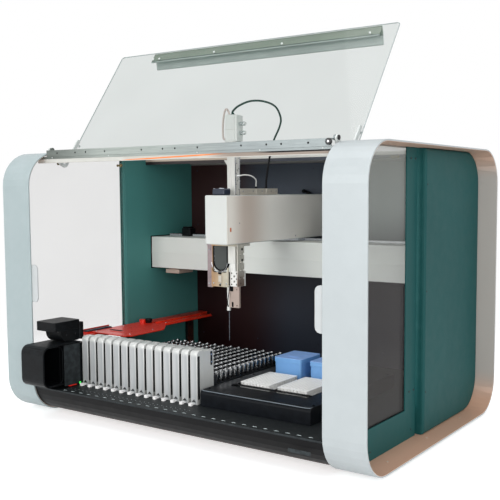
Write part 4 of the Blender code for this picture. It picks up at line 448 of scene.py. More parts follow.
    # The red's orange edges are painted highlights
    finish(
        "transport_red", (226, 44, 26), 0.32, 0.15, 0.1, 12, 0.07, 900, 10, wear_and_highlight=0.3,
        worn_and_highlight_colour=(246, 120, 60), second=red_colours,
    )
    finish("lid_edge", (168, 178, 178), 0.25, 0, 0.08, 30, 0.05, 900, 10)
    finish(
        "handle_olive", (116, 122, 120), 0.4, 0.2, 0.1, 10, 0.08, 480, 10, along_x,
        second=handle_colours, specular=0.35,
    )
    finish("catch_grey", (194, 198, 199), 0.42, 0, 0.05, 24)
    finish("brass", (128, 116, 80), 0.34, 0.5, 0.18, 60, 0.08, 900, 8)
    finish("dark_hole", (10, 11, 13), 0.6, 0, 0.1, 40, 0.05, 1500, 10, specular=0.08)
    finish("light_mark", (190, 202, 204), 0.32, 0.5, 0.1, 60, 0.05, 1500, 10)
    finish("orange_dot", (198, 104, 52), 0.4, 0, 0.1, 60, 0.05, 1500, 10)
    finish("pink_tube", (226, 206, 200), 0.3, 0, 0.06, 60, 0.05, 1500, 10)
    finish("led_green", (70, 220, 90), 0.3, light=0.9)
    finish("led_red", (220, 44, 34), 0.3, light=0.5)


# Solids that wear another finish than their slot's
OWN_FINISH = {
    "left_lid_arm": "lid_arm_grey", "right_lid_arm": "lid_arm_grey", "front_rail": "rail_silver",
    "needle_holder": "holder_white", "right_window": "window_right", "needle": "needle_steel",
    "x_guide_rail": "guide_steel", "mast_top_block": "block_white",
}
# The solids whose edges are softened, by the width of the edge
SOFT_EDGES = {
    0.3: "arm_plate",
    0.4: "z_mast left_window right_window",
    0.5: "front_rail z_bracket rear_cover",
    0.6: "left_side_frame right_side_frame mast_top_block needle_holder red_rail red_carriage lid_handle "
         "left_lid_arm right_lid_arm power_inlet power_switch deck x_guide_rail left_rear_cover "
         "right_rear_cover",
    0.8: "lid_panel",
    0.9: "left_band right_band",
    1: "plate_stage scanner_cover scanner_head",
    1.2: "x_beam left_catch right_catch reagent_box_left reagent_box_right left_foot right_foot",
}


def soften(item, width, limit):
    bevel = item.modifiers.new("edges", "BEVEL")
    bevel.width = width * MM
    bevel.segments = 2
    bevel.limit_method = "ANGLE"
    bevel.angle_limit = math.radians(limit)


def dress_nodes():
    """Give every carried-over solid its finish and softened edges."""
    widths = {name: width for width, names in SOFT_EDGES.items() for name in names.split()}
    for part in frame["record"]["subparts"]:
        item = NODES[part["node"]]
        item.data.materials.clear()
        item.data.materials.append(MATERIALS[OWN_FINISH.get(part["node"], part["material_slot"])])
        if part["node"] in widths:
            weld = item.modifiers.new("weld", "WELD")
            weld.merge_threshold = 0.02 * MM
            soften(item, widths[part["node"]], SLIGHT_TURN)


# Outlines


def arc(u, v, radius, start, turn, steps, tall=None):
    """Points round (u, v), from the start angle on through the turn; tall is the other radius."""
    points = []
    for step in range(steps + 1):
        angle = start + turn * step / steps
        points.append((u + radius * math.cos(angle), v + (tall or radius) * math.sin(angle)))
    return points


def soft_rectangle(low_u, high_u, low_v, high_v, radius, steps=5):
    points = []
    corners = (
        (high_u - radius, high_v - radius), (low_u + radius, high_v - radius),
        (low_u + radius, low_v + radius), (high_u - radius, low_v + radius),
    )
    for quarter, (u, v) in enumerate(corners):
        points += arc(u, v, radius, quarter * QUARTER, QUARTER, steps)
    return points


def smooth_path(points, steps):
    """A curve through every point."""
    spots = [Vector(point) for point in points]
    ends = [spots[0] * 2 - spots[1], *spots, spots[-1] * 2 - spots[-2]]
    made = []
    for index in range(1, len(ends) - 2):
        before, start, end, after = ends[index - 1:index + 3]
        for step in range(steps):
            share = step / steps
            square = (before * 2 - start * 5 + end * 4 - after) * share ** 2
            cube = (start * 3 - before - end * 3 + after) * share ** 3
            made.append((start * 2 + (end - before) * share + square + cube) / 2)
    return made + [spots[-1]]


# Forms: each adds to a shape


def block(shape, low, high):
    made = bmesh.ops.create_cube(shape, size=1)["verts"]
    bmesh.ops.scale(shape, vec=Vector(high) - Vector(low), verts=made)
    bmesh.ops.translate(shape, vec=(Vector(low) + Vector(high)) / 2, verts=made)


def lathe(shape, origin, along, profile, sides=16):
    """Turn (radius, height) points about an axis through origin."""
    axis = Vector(UP).rotation_difference(Vector(along)).to_matrix()
    rings = []
    for radius, level in profile:
        if radius < 1e-7:
            rings.append([shape.verts.new(Vector(origin) + axis @ Vector((0, 0, level)))])
            continue
        spots = arc(0, 0, radius, 0, 4 * QUARTER, sides)[:-1]
        rings.append([shape.verts.new(Vector(origin) + axis @ Vector((*spot, level))) for spot in spots])
    for lower, upper in zip(rings, rings[1:]):
        for step in range(sides):
            after = (step + 1) % sides
            corners = [lower[step % len(lower)], lower[after % len(lower)]]
            corners += [upper[after % len(upper)], upper[step % len(upper)]]
            unique = list(dict.fromkeys(corners))
            if len(unique) > 2:
                shape.faces.new(unique)


def rod(shape, start, end, radius, sides=16):
    along = Vector(end) - Vector(start)
    edge = min(radius * 0.25, along.length * 0.2)
    profile = [
        (0, 0), (radius - edge, 0), (radius, edge), (radius, along.length - edge),
        (radius - edge, along.length), (0, along.length),
    ]
    lathe(shape, start, along, profile, sides)


def screw(shape, place, along, radius, sides=14):
    """A pan head with a round socket, standing on its place."""
    head = ((0, 0), (1, 0), (1, 0.35), (0.82, 0.62), (0.46, 0.66), (0.42, 0.25), (0, 0.22))
    lathe(shape, place, along, [(r * radius, level * radius) for r, level in head], sides)


def sweep(shape, points, radius, sides=12, closed=False):
    """A round tube along points, without twist."""
    spots = [Vector(point) for point in points]
    normal = None
    rings = []
    for index, spot in enumerate(spots):
        before = spots[index - 1] if index > 0 or closed else spot
        after = spots[(index + 1) % len(spots)] if index < len(spots) - 1 or closed else spot
        along = (after - before).normalized()
        if normal is None:
            normal = along.orthogonal().normalized()
        normal = (normal - along * normal.dot(along)).normalized()
        other = along.cross(normal)
        circle = arc(0, 0, radius, 0, 4 * QUARTER, sides)[:-1]
        rings.append([shape.verts.new(spot + normal * u + other * v) for u, v in circle])
    pairs = list(zip(rings, rings[1:])) + ([(rings[-1], rings[0])] if closed else [])
    for lower, upper in pairs:
        for step in range(sides):
            after = (step + 1) % sides
            shape.faces.new([lower[step], lower[after], upper[after], upper[step]])
    if not closed:
        shape.faces.new(rings[0][::-1])
        shape.faces.new(rings[-1])


def plate(shape, outline, axis, low, high):
    """Extrude a flat outline of (u, v) points along X, Y or Z."""
    place = {
        "X": lambda u, v, level: (level, u, v),
        "Y": lambda u, v, level: (u, level, v),
        "Z": lambda u, v, level: (u, v, level),
    }[axis]
    near, far = ([shape.verts.new(place(u, v, level)) for u, v in outline] for level in (low, high))
    count = len(outline)
    for step in range(count):
        after = (step + 1) % count
        shape.faces.new([near[step], near[after], far[after], far[step]])
    shape.faces.new(near[::-1])
    shape.faces.new(far)


def tile(shape, low_u, high_u, low_v, high_v, radius, axis, low, high):
    plate(shape, soft_rectangle(low_u, high_u, low_v, high_v, radius), axis, low, high)


def make_mesh(name, forms, turn=None):
    """A mesh from rows of (form, values ...), brought to metres."""
    shape = bmesh.new()
    for form, *values in forms:
        form(shape, *values)
    if turn:
        bmesh.ops.transform(shape, matrix=turn, verts=shape.verts)
    bmesh.ops.scale(shape, vec=(MM, MM, MM), verts=shape.verts)
    bmesh.ops.recalc_face_normals(shape, faces=shape.faces)
    mesh = bpy.data.meshes.new(name)
    shape.to_mesh(mesh)
    shape.free()
    return mesh


def piece(
    name, finish_name, forms, edge=0.0, body="cabinet", place=(0, 0, 0), slot=None, mesh=None, turn=None,
):
    """Make one named piece from rows of forms and let it ride on a body."""
    if mesh is None:
        mesh = make_mesh(name, forms, turn)
        mesh.materials.append(MATERIALS[finish_name])
        mesh.shade_smooth()
        mesh.set_sharp_from_angle(angle=math.radians(SLIGHT_TURN))
    item = bpy.data.objects.new(name, mesh)
    item.location = Vector(place) * MM
    bpy.context.scene.collection.objects.link(item)
    if edge:
        soften(item, edge, CLEAR_TURN)
    if body:
        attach(item, body)
    return item


def settled_mesh(item, name):
    """The mesh of an object with its modifiers applied; the object is removed."""
    bpy.context.view_layer.update()
    mesh = bpy.data.meshes.new_from_object(item.evaluated_get(bpy.context.evaluated_depsgraph_get()))
    mesh.transform(item.matrix_world)
    bpy.data.objects.remove(item, do_unlink=True)
    mesh.name = name
    mesh.materials.clear()
    return mesh


# Racks


def rack_frame():
    """The rack's plate in YZ with its finger loop and rounded edges, made from a filled curve."""
    outline = [(0, 0), (397.5, 0), (397.5, 30), (62, 30)]
    outline += arc(57, RACK_TOP - 9, 5, 0, QUARTER, 7)
    outline += [(25, RACK_TOP - 4), (25, RACK_TOP)]
    outline += arc(10, RACK_TOP - 10, 10, QUARTER, QUARTER, 7)
    loop = soft_rectangle(2.6, 10.8, 11.5, RACK_TOP - 12.5, 2.5)
    edge = 1.1
    curve = bpy.data.curves.new("rack_frame", "CURVE")
    curve.dimensions = "2D"
    curve.fill_mode = "BOTH"
    curve.extrude = (RACK_WIDTH / 2 - edge) * MM
    curve.bevel_depth = edge * MM
    curve.bevel_resolution = 1
    curve.offset = -edge * MM
    curve.resolution_u = 1
    for points in (outline, loop):
        spline = curve.splines.new("POLY")
        spline.points.add(len(points) - 1)
        for spot, (u, v) in zip(spline.points, points):
            spot.co = (u * MM, v * MM, 0, 1)
        spline.use_cyclic_u = True
    drawn = bpy.data.objects.new("rack_frame", curve)
    drawn.rotation_euler = (QUARTER, 0, QUARTER)
    drawn.location = (RACK_WIDTH / 2 * MM, 0, 0)
    bpy.context.scene.collection.objects.link(drawn)
    mesh = settled_mesh(drawn, "rack_frame")
    mesh.materials.append(MATERIALS["rack_grey"])
    mesh.shade_smooth()
    mesh.set_sharp_from_angle(angle=math.radians(CLEAR_TURN))
    return mesh


def rack_parts():
    """Word, finish and rows of forms of everything that stands on a rack's frame."""
    tube = [
        (0, 30), (6, 30), (6.6, 32), (6.6, 55.5), (7.1, 56.2), (7.1, 61.5),
        (6.4, 62.5), (4.6, 62.5), (4, 61.8), (3.8, 57.5), (0, 57),
    ]
    ends = [FIRST_TUBE + index * TUBE_PITCH for index in range(TUBE_COUNT + 1)]
    tubes = [(lathe, (RACK_WIDTH / 2, y + TUBE_PITCH / 2, 0), UP, tube, 18) for y in ends[:-1]]
    comb = [(block, (x, 66, 28), (x + 1.4, 397, 37.5)) for x in (0.4, 19.2)]
    comb += [(block, (1, y - 0.7, 28), (20, y + 0.7, 44)) for y in ends]
    comb.append((block, (0.6, 62.2, 28), (20.4, 74, 59)))
    ribs = [(block, (x, y, 14), (x + 0.5, y + 1.2, 116)) for x in (-0.35, 20.85) for y in (21, 40, 48)]
    foot = [(tile, 6, 15, -16.5, -7.5, 1.8, "Z", 0.2, 6.2), (tile, 8.5, 12.5, -8.5, 4, 0.8, "Z", 0.4, 3)]
    # A dark block in the finger slit as painted shade in the gap, the notch at the foot and the slots in the
    # flanks
    slots = [
        (tile, 2.5, 10.9, 11.4, 114.1, 2.5, "X", 0.7, 20.3),
        (plate, [(4, 6), (17, 6), (10.5, 12.5)], "Y", -0.3, 0.6),
    ]
    slots += [(tile, 49, 56.5, 86, 119, 2.5, "X", x, x + 0.8) for x in (-0.6, 20.8)]
    pins = [(rod, (x, 52.8, z), (x + 0.6, 52.8, z), 1.9, 10) for x in (-0.9, 21.3) for z in (93.5, 111.5)]
    return (
        ("tubes", "chrome", tubes), ("comb", "rack_slot", comb), ("ribs", "rack_grey", ribs),
        ("foot", "rack_foot", foot), ("slots", "rack_slot", slots), ("pins", "chrome", pins),
    )


def build_racks():
    frame_mesh = rack_frame()
    parts = rack_parts()
    made = {}
    for index in range(RACK_COUNT):
        rack = f"rack_{index + 1:02d}"
        where = {"body": f"sample_{rack}", "place": (RACK_LEFT + index * RACK_PITCH, RACK_Y, RACK_FLOOR)}
        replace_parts(piece(f"{rack}_frame", "rack_grey", None, mesh=frame_mesh, **where), rack)
        for word, finish_name, forms in parts:
            made[word] = piece(f"{rack}_{word}", finish_name, forms, mesh=made.get(word), **where).data


# Plates and boxes on the stage


def microplate_parts():
    """Word, finish, softened edge and rows of forms of a plate with twelve strips of eight wells."""
    base = [
        (tile, 0.4, 85.1, 0.4, 127.4, 2.5, "Z", 0, 2),
        (tile, 6, 79.5, 6, 121.8, 2, "Z", 1.9, 12),
        (tile, 1.2, 84.3, 1.2, 126.6, 3, "Z", 11.8, 13.7),
    ]
    rim = [(4.1, 13.6), (4.1, 14.2), (3.8, 14.35), (3.3, 14.35), (3.1, 13.8), (0, 13.8)]
    cup = [(0, 1.9), (3, 1.9), (3.7, 3), (3.7, 11.9)]
    shadow = [(0, 13.6), (3, 13.6), (3, 13.95), (0, 13.95)]
    spots = [(11.25 + column * 9, 14.4 + row * 9, 0) for row in range(12) for column in range(8)]
    round_it = [(5.2 + column * 9.33, y, 0) for column in range(9) for y in (5.2, 122.6)]
    round_it += [(x, 5.2 + row * 9.78, 0) for row in range(13) for x in (5.2, 80.3)]
    wells = [(lathe, spot, UP, rim, 14) for spot in spots]
    wells += [(lathe, spot, UP, cup, 12) for spot in round_it]
    # Grey discs inside the rims: painted shade in the wells
    well_shades = [(lathe, spot, UP, shadow, 12) for spot in spots]
    return (
        ("base", "plate_white", 0.4, base), ("wells", "plate_white", 0, wells),
        ("well_shades", "painted_well_shade", 0, well_shades),
    )


def build_plates():
    made = {}
    for side, left in zip(("left", "right"), MICROPLATE_X):
        for word, finish_name, edge, forms in microplate_parts():
            item = piece(
                f"plate_{side}_{word}", finish_name, forms, edge, place=(left, -153.5, 110.3),
                mesh=made.get(word),
            )
            made[word] = item.data
            if word == "base":
                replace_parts(item, f"microplate_{side}")
    piece("reagent_box_seams", "box_blue", [
        (tile, left + 0.9, left + 80.1, -10.6, 83.6, 6, "Z", 146.8, 148.2) for left in BOX_X
    ])
    piece("reagent_box_panels", "box_blue", [
        (tile, left + 22, left + 59, 12, 61, 5, "Z", 159.8, 160.7) for left in BOX_X
    ], 0.4)
    piece("stage_dowels", "chrome", [
        (rod, (x, y, 109.8), (x, y, 112.5), 2.4, 12) for x in (85.5, 290.5) for y in (-172, -10, 100)
    ])
    # The stage's softened front edge, drawn as a light grey bead that is a painted highlight
    edge = ((348.8, -238), (347, -246), (340, -249.4), (60, -249.4), (53, -247), (50.6, -240))
    piece("stage_front_highlight", "stage_edge_highlight", [(sweep, [(x, y, STAGE_EDGE) for x, y in edge], 1, 8)])
    # A dark strip in front of the plates: the painted shadow of the pocket's front wall
    piece("stage_pocket_shadow", "dark_hole", [(tile, 79, 296, -169, -154.5, 3, "Z", 117.2, 117.9)])
    piece("stage_screws", "stage_black", [
        (screw, (x, y, 117.4), UP, 3) for x in (57.5, 342) for y in (-225, -50, 130)
    ])


# Deck, base, side walls and bands


def build_base():
    # Light curved pressings in a row along the deck's front edge
    marks = []
    for index in range(27):
        x = RACK_LEFT + 10.5 + index * RACK_PITCH
        points = [(*spot, DECK - 0.6) for spot in arc(x, -319.5, 5.5, 0, 2 * QUARTER, 8, 3.2)]
        marks.append((sweep, points, 0.8, 6))
    piece("deck_marks", "light_mark", marks)
    # Small bright pins in front of the racks, with a fainter row ahead of them
    piece("deck_dots", "light_mark", [
        (lathe, (-335 + index * RACK_PITCH / 2, y, DECK - 0.3), UP, [(r, 0), (r, 0.4), (0, 0.5)], 8)
        for index in range(29) for y, r in ((-296, 1.3), (-306, 0.8))
    ])
    piece("deck_edge", "deck_black", [
        (block, (-CHAMBER, -331.3, DECK - 1.4), (CHAMBER, -330, DECK + 0.3))
    ], 0.4)
    guides = [RACK_LEFT - 3.4 + index * RACK_PITCH for index in range(RACK_COUNT + 1)]
    piece("rack_guides", "deck_black", [
        (block, (x - 0.7, -240, DECK - 0.1), (x + 0.7, 148, DECK + 4.2)) for x in guides
    ], 0.3)
    piece("fascia_blank_place", "deck_black", [(tile, 345, 400, 45.5, 53.5, 2, "Y", -330.8, -330.3)])
    piece("base_screws", "arm_black", [
        (screw, (side * SIDE_WALL, y, 30), (side, 0, 0), 1.8) for side in SIDES for y in (-200, 0, 200, 330)
    ])
    piece("foot_ribs", "rubber_black", [
        (tile, side * 479.3 - 22, side * 479.3 + 22, y - 4, y + 4, 3, "Z", 0.2, 1.2)
        for side in SIDES for y in (-200, -90, 20, 130, 240)
    ])


def build_sides():
    # Round latches on short stems that hold the windows at their tops
    latch = [
        (0, 0), (3.6, 0), (3.6, 2.2), (1.8, 3), (1.8, 8), (4.4, 9.5),
        (5.4, 12.5), (5, 15.5), (3, 17.8), (0, 18.4),
    ]
    for word, side, spots in (("left", -1, (-214.5, 4.5)), ("right", 1, (-250, -58.5))):
        piece(f"{word}_window_knobs", "brass", [
            (lathe, (side * 457.2, y, 650), (-side, 0, 0), latch, 18) for y in spots
        ])
    posts = (
        (1, ((-10.5, 648), (-10.5, 120), (13, 648), (13, 120))),
        (-1, ((23.8, 640), (23.8, 360), (23.8, 110))),
    )
    piece("post_screws", "arm_black", [
        (screw, (side * SIDE_WALL, *spot), (side, 0, 0), 2.2) for side, spots in posts for spot in spots
    ])
    piece("rear_cover_screws", "arm_black", [
        (screw, (side * 480.9, 45, z), (side, 0, 0), 1.6) for side in SIDES for z in (110, 345, 590)
    ])
    # Dark seals between each window and the sheet round it
    seals = []
    for low, high, rear in ((461.2, 462, -28.5), (-462, -461.2, 20.5)):
        seals.append((block, (low, rear - 1.5, 80.5), (high, rear, 671.5)))
        seals.append((block, (low, -331, 80), (high, rear, 81.5)))
    piece("window_seals", "dark_hole", seals)
    # A fine lighter bead round both rims of each band, where the sheet is folded
    rim = soft_rectangle(FRONT + 1.8, BACK - 1.8, 7.8, 675.2, 84.2, 12)
    piece("band_rim_beads", "band_silver", [
        (sweep, [(x, *spot) for spot in rim], 0.4, 6, True) for x in (-528.6, -430, 430, 528.6)
    ])
    piece("band_screws", "plate_beige", [
        (screw, (side * 496, y, z), along, 1.8)
        for side in SIDES for y in (-180, 20, 220) for z, along in ((10, UP), (673, DOWN))
    ])


# Rail and lid


def build_lid():
    hole = [(0, 0), (2.9, 0), (2.9, 0.4), (1.4, 0.5), (1.2, 0.1), (0, 0.1)]
    piece("rail_screws", "dark_hole", [
        (lathe, (-6.9 + group * 288.4 + offset, -283.8, 673.5), AHEAD, hole, 14)
        for group in (-1, 0, 1) for offset in (-84.1, -18.6, 18.6, 84.1)
    ])
    piece("channel_screws", "lid_arm_grey", [
        (screw, (x, -282.5, 662.6), AHEAD, 1.7, 10) for x in (-399.5, -200, 75, 245, 399.5)
    ])
    piece("channel_light_strip", "channel_tones", [
        (block, (-CHAMBER, -281.5, 649.4), (CHAMBER, -278.5, 659.4))
    ], 0.3)
    piece("rail_shadow_strip", "dark_hole", [(block, (-417, -284, 665.1), (417, -282.6, 665.8))])
    cap = [(0, 0), (5.2, 0), (5.2, 1.6), (3.6, 2.6), (1.8, 2.7), (1.6, 1.2), (0, 1.1)]
    piece("hinge_caps", "arm_black", [
        (lathe, HINGE + Vector((side * 425.8, 0, 0)), (side, 0, 0), cap, 20) for side in SIDES
    ], body="lid")
    # The round fixing with a bright centre at the rail's right end
    knob = [(0, 0), (7, 0), (7, 4), (5.5, 5.5), (3, 5.6), (2.8, 4), (0, 3.8)]
    centre = [(0, 0), (2.6, 0), (2.6, 2.2), (0, 2.8)]
    piece("rail_end_knob", "arm_black", [(lathe, (415, -284.4, 674.5), AHEAD, knob, 22)])
    piece("rail_end_knob_centre", "chrome", [(lathe, (415, -288, 674.5), AHEAD, centre, 16)])

    # The rows below are written for the closed lid, from its hinge, and turned open
    opened = Matrix.Translation(HINGE) @ Matrix.Rotation(math.radians(LID_OPEN), 4, "X")
    on_lid = {"body": "lid", "turn": opened}
    grip = (-300, -278, -90, 120, 360)
    nut = [(0, 0), (3, 0), (3, 1.2), (2.2, 2), (1, 2.2), (0, 2.2)]
    piece("lid_grip_screws", "lid_edge", [(screw, (x, -73.8, -352), AHEAD, 1.6, 12) for x in grip], **on_lid)
    piece("lid_grip_nuts", "lid_arm_grey", [
        (lathe, (x, -66.5, -352), BEHIND, nut, 12) for x in grip
    ], **on_lid)
    piece("lid_arm_screws", "lid_arm_grey", [
        (screw, (side * 423.5, -70.5, z), AHEAD, 3.2) for side in SIDES for z in (-43.5, -66.5)
    ], **on_lid)
    rim = soft_rectangle(-428.5, 428.5, -375.5, -33, 8, 6)
    piece("lid_panel_edges", "lid_edge", [(sweep, [(x, -68.5, z) for x, z in rim], 1.1, 6, True)], **on_lid)


# Beam, arm and mast


def build_beam():
    piece("beam_crease", "arm_white", [(block, (-454.5, 138.7, 392.5), (454.5, 139.3, 393.7))], 0.2)
    piece("beam_screws", "chrome", [(screw, (444, BEAM_FACE, z), AHEAD, 1.6, 10) for z in (356, 432)])
    holes = [-440 + index * 30.3 for index in range(30)]
    piece("guide_screws", "dark_hole", [
        (screw, (x, 223.5, 445.9), UP, 2.2, 10) for x in holes if not -400 < x < -358
    ])
    piece("beam_end_plate", "dark_hole", [(tile, 136, 323, 344.6, 442.8, 2, "X", -455.6, -454.9)])
    piece("beam_under_bracket", "bracket_beige", [
        (block, (-409, 150, 331.8), (-357, 215, 344)),
        (block, (-403, 158, 343), (-363, 205, 347.4)),
    ], 1)
    piece("guide_stop_top", "cable_black", [(block, (-392.5, 212, 464.2), (-367.5, 234, 468.5))], 0.8)
    teeth = [-449 + index * 5 for index in range(180)]
    piece("beam_drive_belt", "cable_black", [
        (block, (-450, 256, 440), (450, 257.5, 446)),
        *[(block, (x, 255.3, 440.2), (x + 2.5, 256.2, 445.8)) for x in teeth],
    ])
    knob = [(0, 0), (3, 0), (3, 6), (5.5, 8), (6.2, 12), (4.5, 15.5), (0, 16.5)]
    piece("back_wall_knobs", "dark_hole", [
        (lathe, (x, BACK_WALL, z), AHEAD, knob, 18) for x, z in ((-24, 575), (-10, 569.5))
    ])
    piece("back_wall_rivets", "motor_dark", [
        (screw, (x, y, z), AHEAD, 2.2, 10)
        for x in (-430, -215, 0, 215, 430) for y, z in ((329.5, 470), (329.5, 640), (353.5, 120))
    ])


def build_arm():
    piece("arm_side_dot", "orange_dot", [
        (tile, -125.8, -120.6, 478, 488.5, 2.4, "X", ARM_RIGHT, 45.7)
    ], body="arm")
    piece("arm_screws", "steel", [
        (screw, (ARM_RIGHT, -87, 498), RIGHT, 1.4, 10),
        *[(screw, (x, y, 456), (side, 0, 0), 1.6, 10)
          for y in (165, 310) for side, x in zip(SIDES, (ARM_LEFT, ARM_RIGHT))],
    ], body="arm")
    # The end cap's joint on both sides of the arm
    piece("arm_cap_seam", "plate_beige", [
        (block, (low, -134, 450), (high, -133.4, 563.5))
        for low, high in ((-22.15, -21.95), (44.95, 45.15))
    ], body="arm")
    # Seal strips on both sides of the mast's slot
    piece("arm_slot_seals", "cable_black", [
        (block, (x - 1.2, -87, 566.4), (x + 1.2, 93, 567.2)) for x in (2.8, 30.6)
    ], body="arm")
    pins = [-120 + index * 24 for index in range(12)]
    piece("arm_inner_guide", "steel", [
        (block, (-4, -130, 520), (4, 170, 530)),
        *[(rod, (0, y, 518.8), (0, y, 520.2), 1.8, 10) for y in pins],
    ], body="arm")
    piece("y_motor_detail", "steel", [
        *[(screw, (x, y, 582.7), UP, 1.6, 10) for y in (-128.5, -106.5) for x in (0, 28)],
        (rod, (14, -117.5, 582.6), (14, -117.5, 584), 7, 20),
    ], body="arm")
    piece("arm_plate_screws", "steel", [
        (screw, (38, y, 576), RIGHT, 1.6, 10) for y in (-62, -20, 20, 60, 83)
    ], body="arm")
    gland = [(0, 0), (3.6, 0), (3.6, 3), (2.4, 5), (2.3, 5.2)]
    piece("plate_glands", "cable_black", [
        (lathe, (36.8, y, 582.6), UP, gland, 16) for y in (39.5, -5.5)
    ], body="arm")


def build_mast():
    carried = {"body": "carriage"}
    piece("mast_side_screws", "dark_hole", [
        (screw, (MAST_RIGHT, MAST_Y + (4.5 if index % 2 else -4.5), 670 - index * 12.8), RIGHT, 1.1, 8)
        for index in range(9)
    ], **carried)
    piece("mast_side_strips", "steel", [
        (block, (MAST_RIGHT, y, 460), (29.65, y + 3.8, 694)) for y in (-82.8, -65)
    ], 0.2, **carried)
    fitting = [
        (0, 0), (5.2, 0), (5.2, 4), (4.4, 4.6), (4.4, 10), (5, 10.6),
        (5, 15), (4, 16.2), (2.6, 16.4), (2.4, 12), (0, 12),
    ]
    piece("mast_fittings", "chrome", [
        (lathe, (37.2, MAST_Y, z), RIGHT, fitting, 18) for z in (718.4, 740.4)
    ], **carried)
    tube = ((-4, 703), (-14, 708), (-15, 740), (-10, 770), (-3, 778), (4, 769), (5, 762))
    piece("mast_top_tube", "pink_tube", [
        (sweep, smooth_path([(x, MAST_Y, z) for x, z in tube], 6), 2.4, 12)
    ], **carried)
    piece("mast_tube_clip", "mast_white", [
        (block, (-6.5, -76, 698), (3.5, -68, 708)),
        (block, (2, -76.8, 762), (9, -67.2, 765)),
    ], 0.6, **carried)
    piece("mast_top_joint", "plate_beige", [(block, (2.8, -86.8, 726.2), (31.2, -57.2, 726.8))], **carried)
    gland = [(0, 0), (4.2, 0), (4.2, 2.6), (3, 5), (2.4, 5.6)]
    piece("mast_cable_gland", "cable_black", [(lathe, (20, -77.5, 762), UP, gland, 16)], **carried)
    gland = [(0, 0), (3.4, 0), (3.4, 2), (2.2, 3.6)]
    piece("loop_tube_gland", "chrome", [(lathe, (28.9, MAST_Y, 614), RIGHT, gland, 14)], **carried)


def narrow_bracket():
    """The bracket with its side plate cut to half its depth, as the photograph shows it."""
    waste = make_mesh("bracket_waste", [(block, (30, -61.2, 330), (42, -30, 440.2))])
    whole = bpy.data.objects.new("bracket_whole", NODES["z_bracket"].data)
    cutter = bpy.data.objects.new("bracket_cutter", waste)
    for item in (whole, cutter):
        bpy.context.scene.collection.objects.link(item)
    cut = whole.modifiers.new("cut", "BOOLEAN")
    cut.operation = "DIFFERENCE"
    cut.solver = "EXACT"
    cut.object = cutter
    mesh = settled_mesh(whole, "bracket_shell")
    bpy.data.objects.remove(cutter, do_unlink=True)
    mesh.materials.append(MATERIALS["bracket_bronze"])
    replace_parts(piece("bracket_shell", "bracket_bronze", None, 0.5, "carriage", mesh=mesh), "z_bracket")


def build_bracket():
    narrow_bracket()
    carried = {"body": "carriage"}
    fixings = ((-50, 345), (-50, 430), (-36, 346.5), (-14, 346.5), (4, 346.5))
    piece("bracket_screws", "steel", [
        (screw, (x, BRACKET_FACE, z), AHEAD, 2, 12) for x, z in fixings
    ], **carried)
    # A thin bright lip round the belt's notch in the bronze plate
    notch = [(x, -88.4, z) for x, z in arc(BELT_X, 398.5, 24.5, math.pi, math.pi, 14)]
    piece("bracket_lip", "steel", [(sweep, notch, 0.7, 6)], **carried)
    # The dark cover inside the belt, with the belt's round foot
    foot = arc(BELT_X, 399.2, 19.4, math.pi, math.pi, 14)
    piece("belt_cover", "belt_cover_dark", [
        (plate, [*foot, (1.9, 439.8), (-36.9, 439.8)], "Y", -83.2, -76)
    ], 0.8, **carried)
    piece("belt_cover_lip", "steel", [(block, (-37.6, -83.8, 399), (-36.6, -83, 439.5))], **carried)
    piece("belt_outer_run", "dark_hole", [(block, (2.2, -84.6, 396), (6.8, -75, 447))], 0.6, **carried)
    # Two round windows in the side plate and the fixings under them
    piece("bracket_side_holes", "dark_hole", [
        *[(rod, (39, -70, z), (39.7, -70, z), 3.6, 14) for z in (406, 433)],
        *[(rod, (39, -76, z), (39.6, -76, z), 1.6, 10) for z in (348, 364)],
    ], **carried)
    # The dark cut over the bronze plate, its small mark and the pale clamp between them
    piece("bracket_face_marks", "dark_hole", [
        (tile, -21.5, -11.5, 369, 375.2, 2, "Y", -89, -87.9),
        (tile, -18.5, -13.5, 339.5, 345.5, 2, "Y", -88.8, -87.9),
    ], **carried)
    piece("bracket_face_clamp", "plate_beige", [
        (block, (-20.5, -89.5, 350), (-11, -87.8, 366))
    ], 0.5, **carried)


def build_needle_head():
    head = {"body": "needle_head"}
    bore = [(0, 0), (1.8, 0), (1.8, 0.3), (1.2, 0.4), (1.1, 0.1), (0, 0.1)]
    piece("holder_bores", "dark_hole", [
        (lathe, (x, -81.2, z), AHEAD, bore, 12) for x in (15, 30.5) for z in (345, 359, 373)
    ], **head)
    piece("needle_tip_block", "tube_white", [(block, (-4.2, -76.2, 277), (3.4, -69, 286.2))], 0.8, **head)
    piece("guide_plate_notches", "dark_hole", [
        *[(screw, (26.5, -75.4, z), AHEAD, 1.4, 10) for z in (292, 332)],
        (block, (6, -77, 327), (15, -75.2, 339)),
        (block, (11.5, -76.8, 288), (15.5, -75.2, 300)),
    ], 0.3, **head)
    feed = ((0, -73.5, 285), (0, -79, 296), (4, -80, 316), (7, -79, 336), (9.5, -74, 350))
    piece("needle_feed_tube", "cable_black", [(sweep, smooth_path(feed, 5), 1.1, 10)], **head)


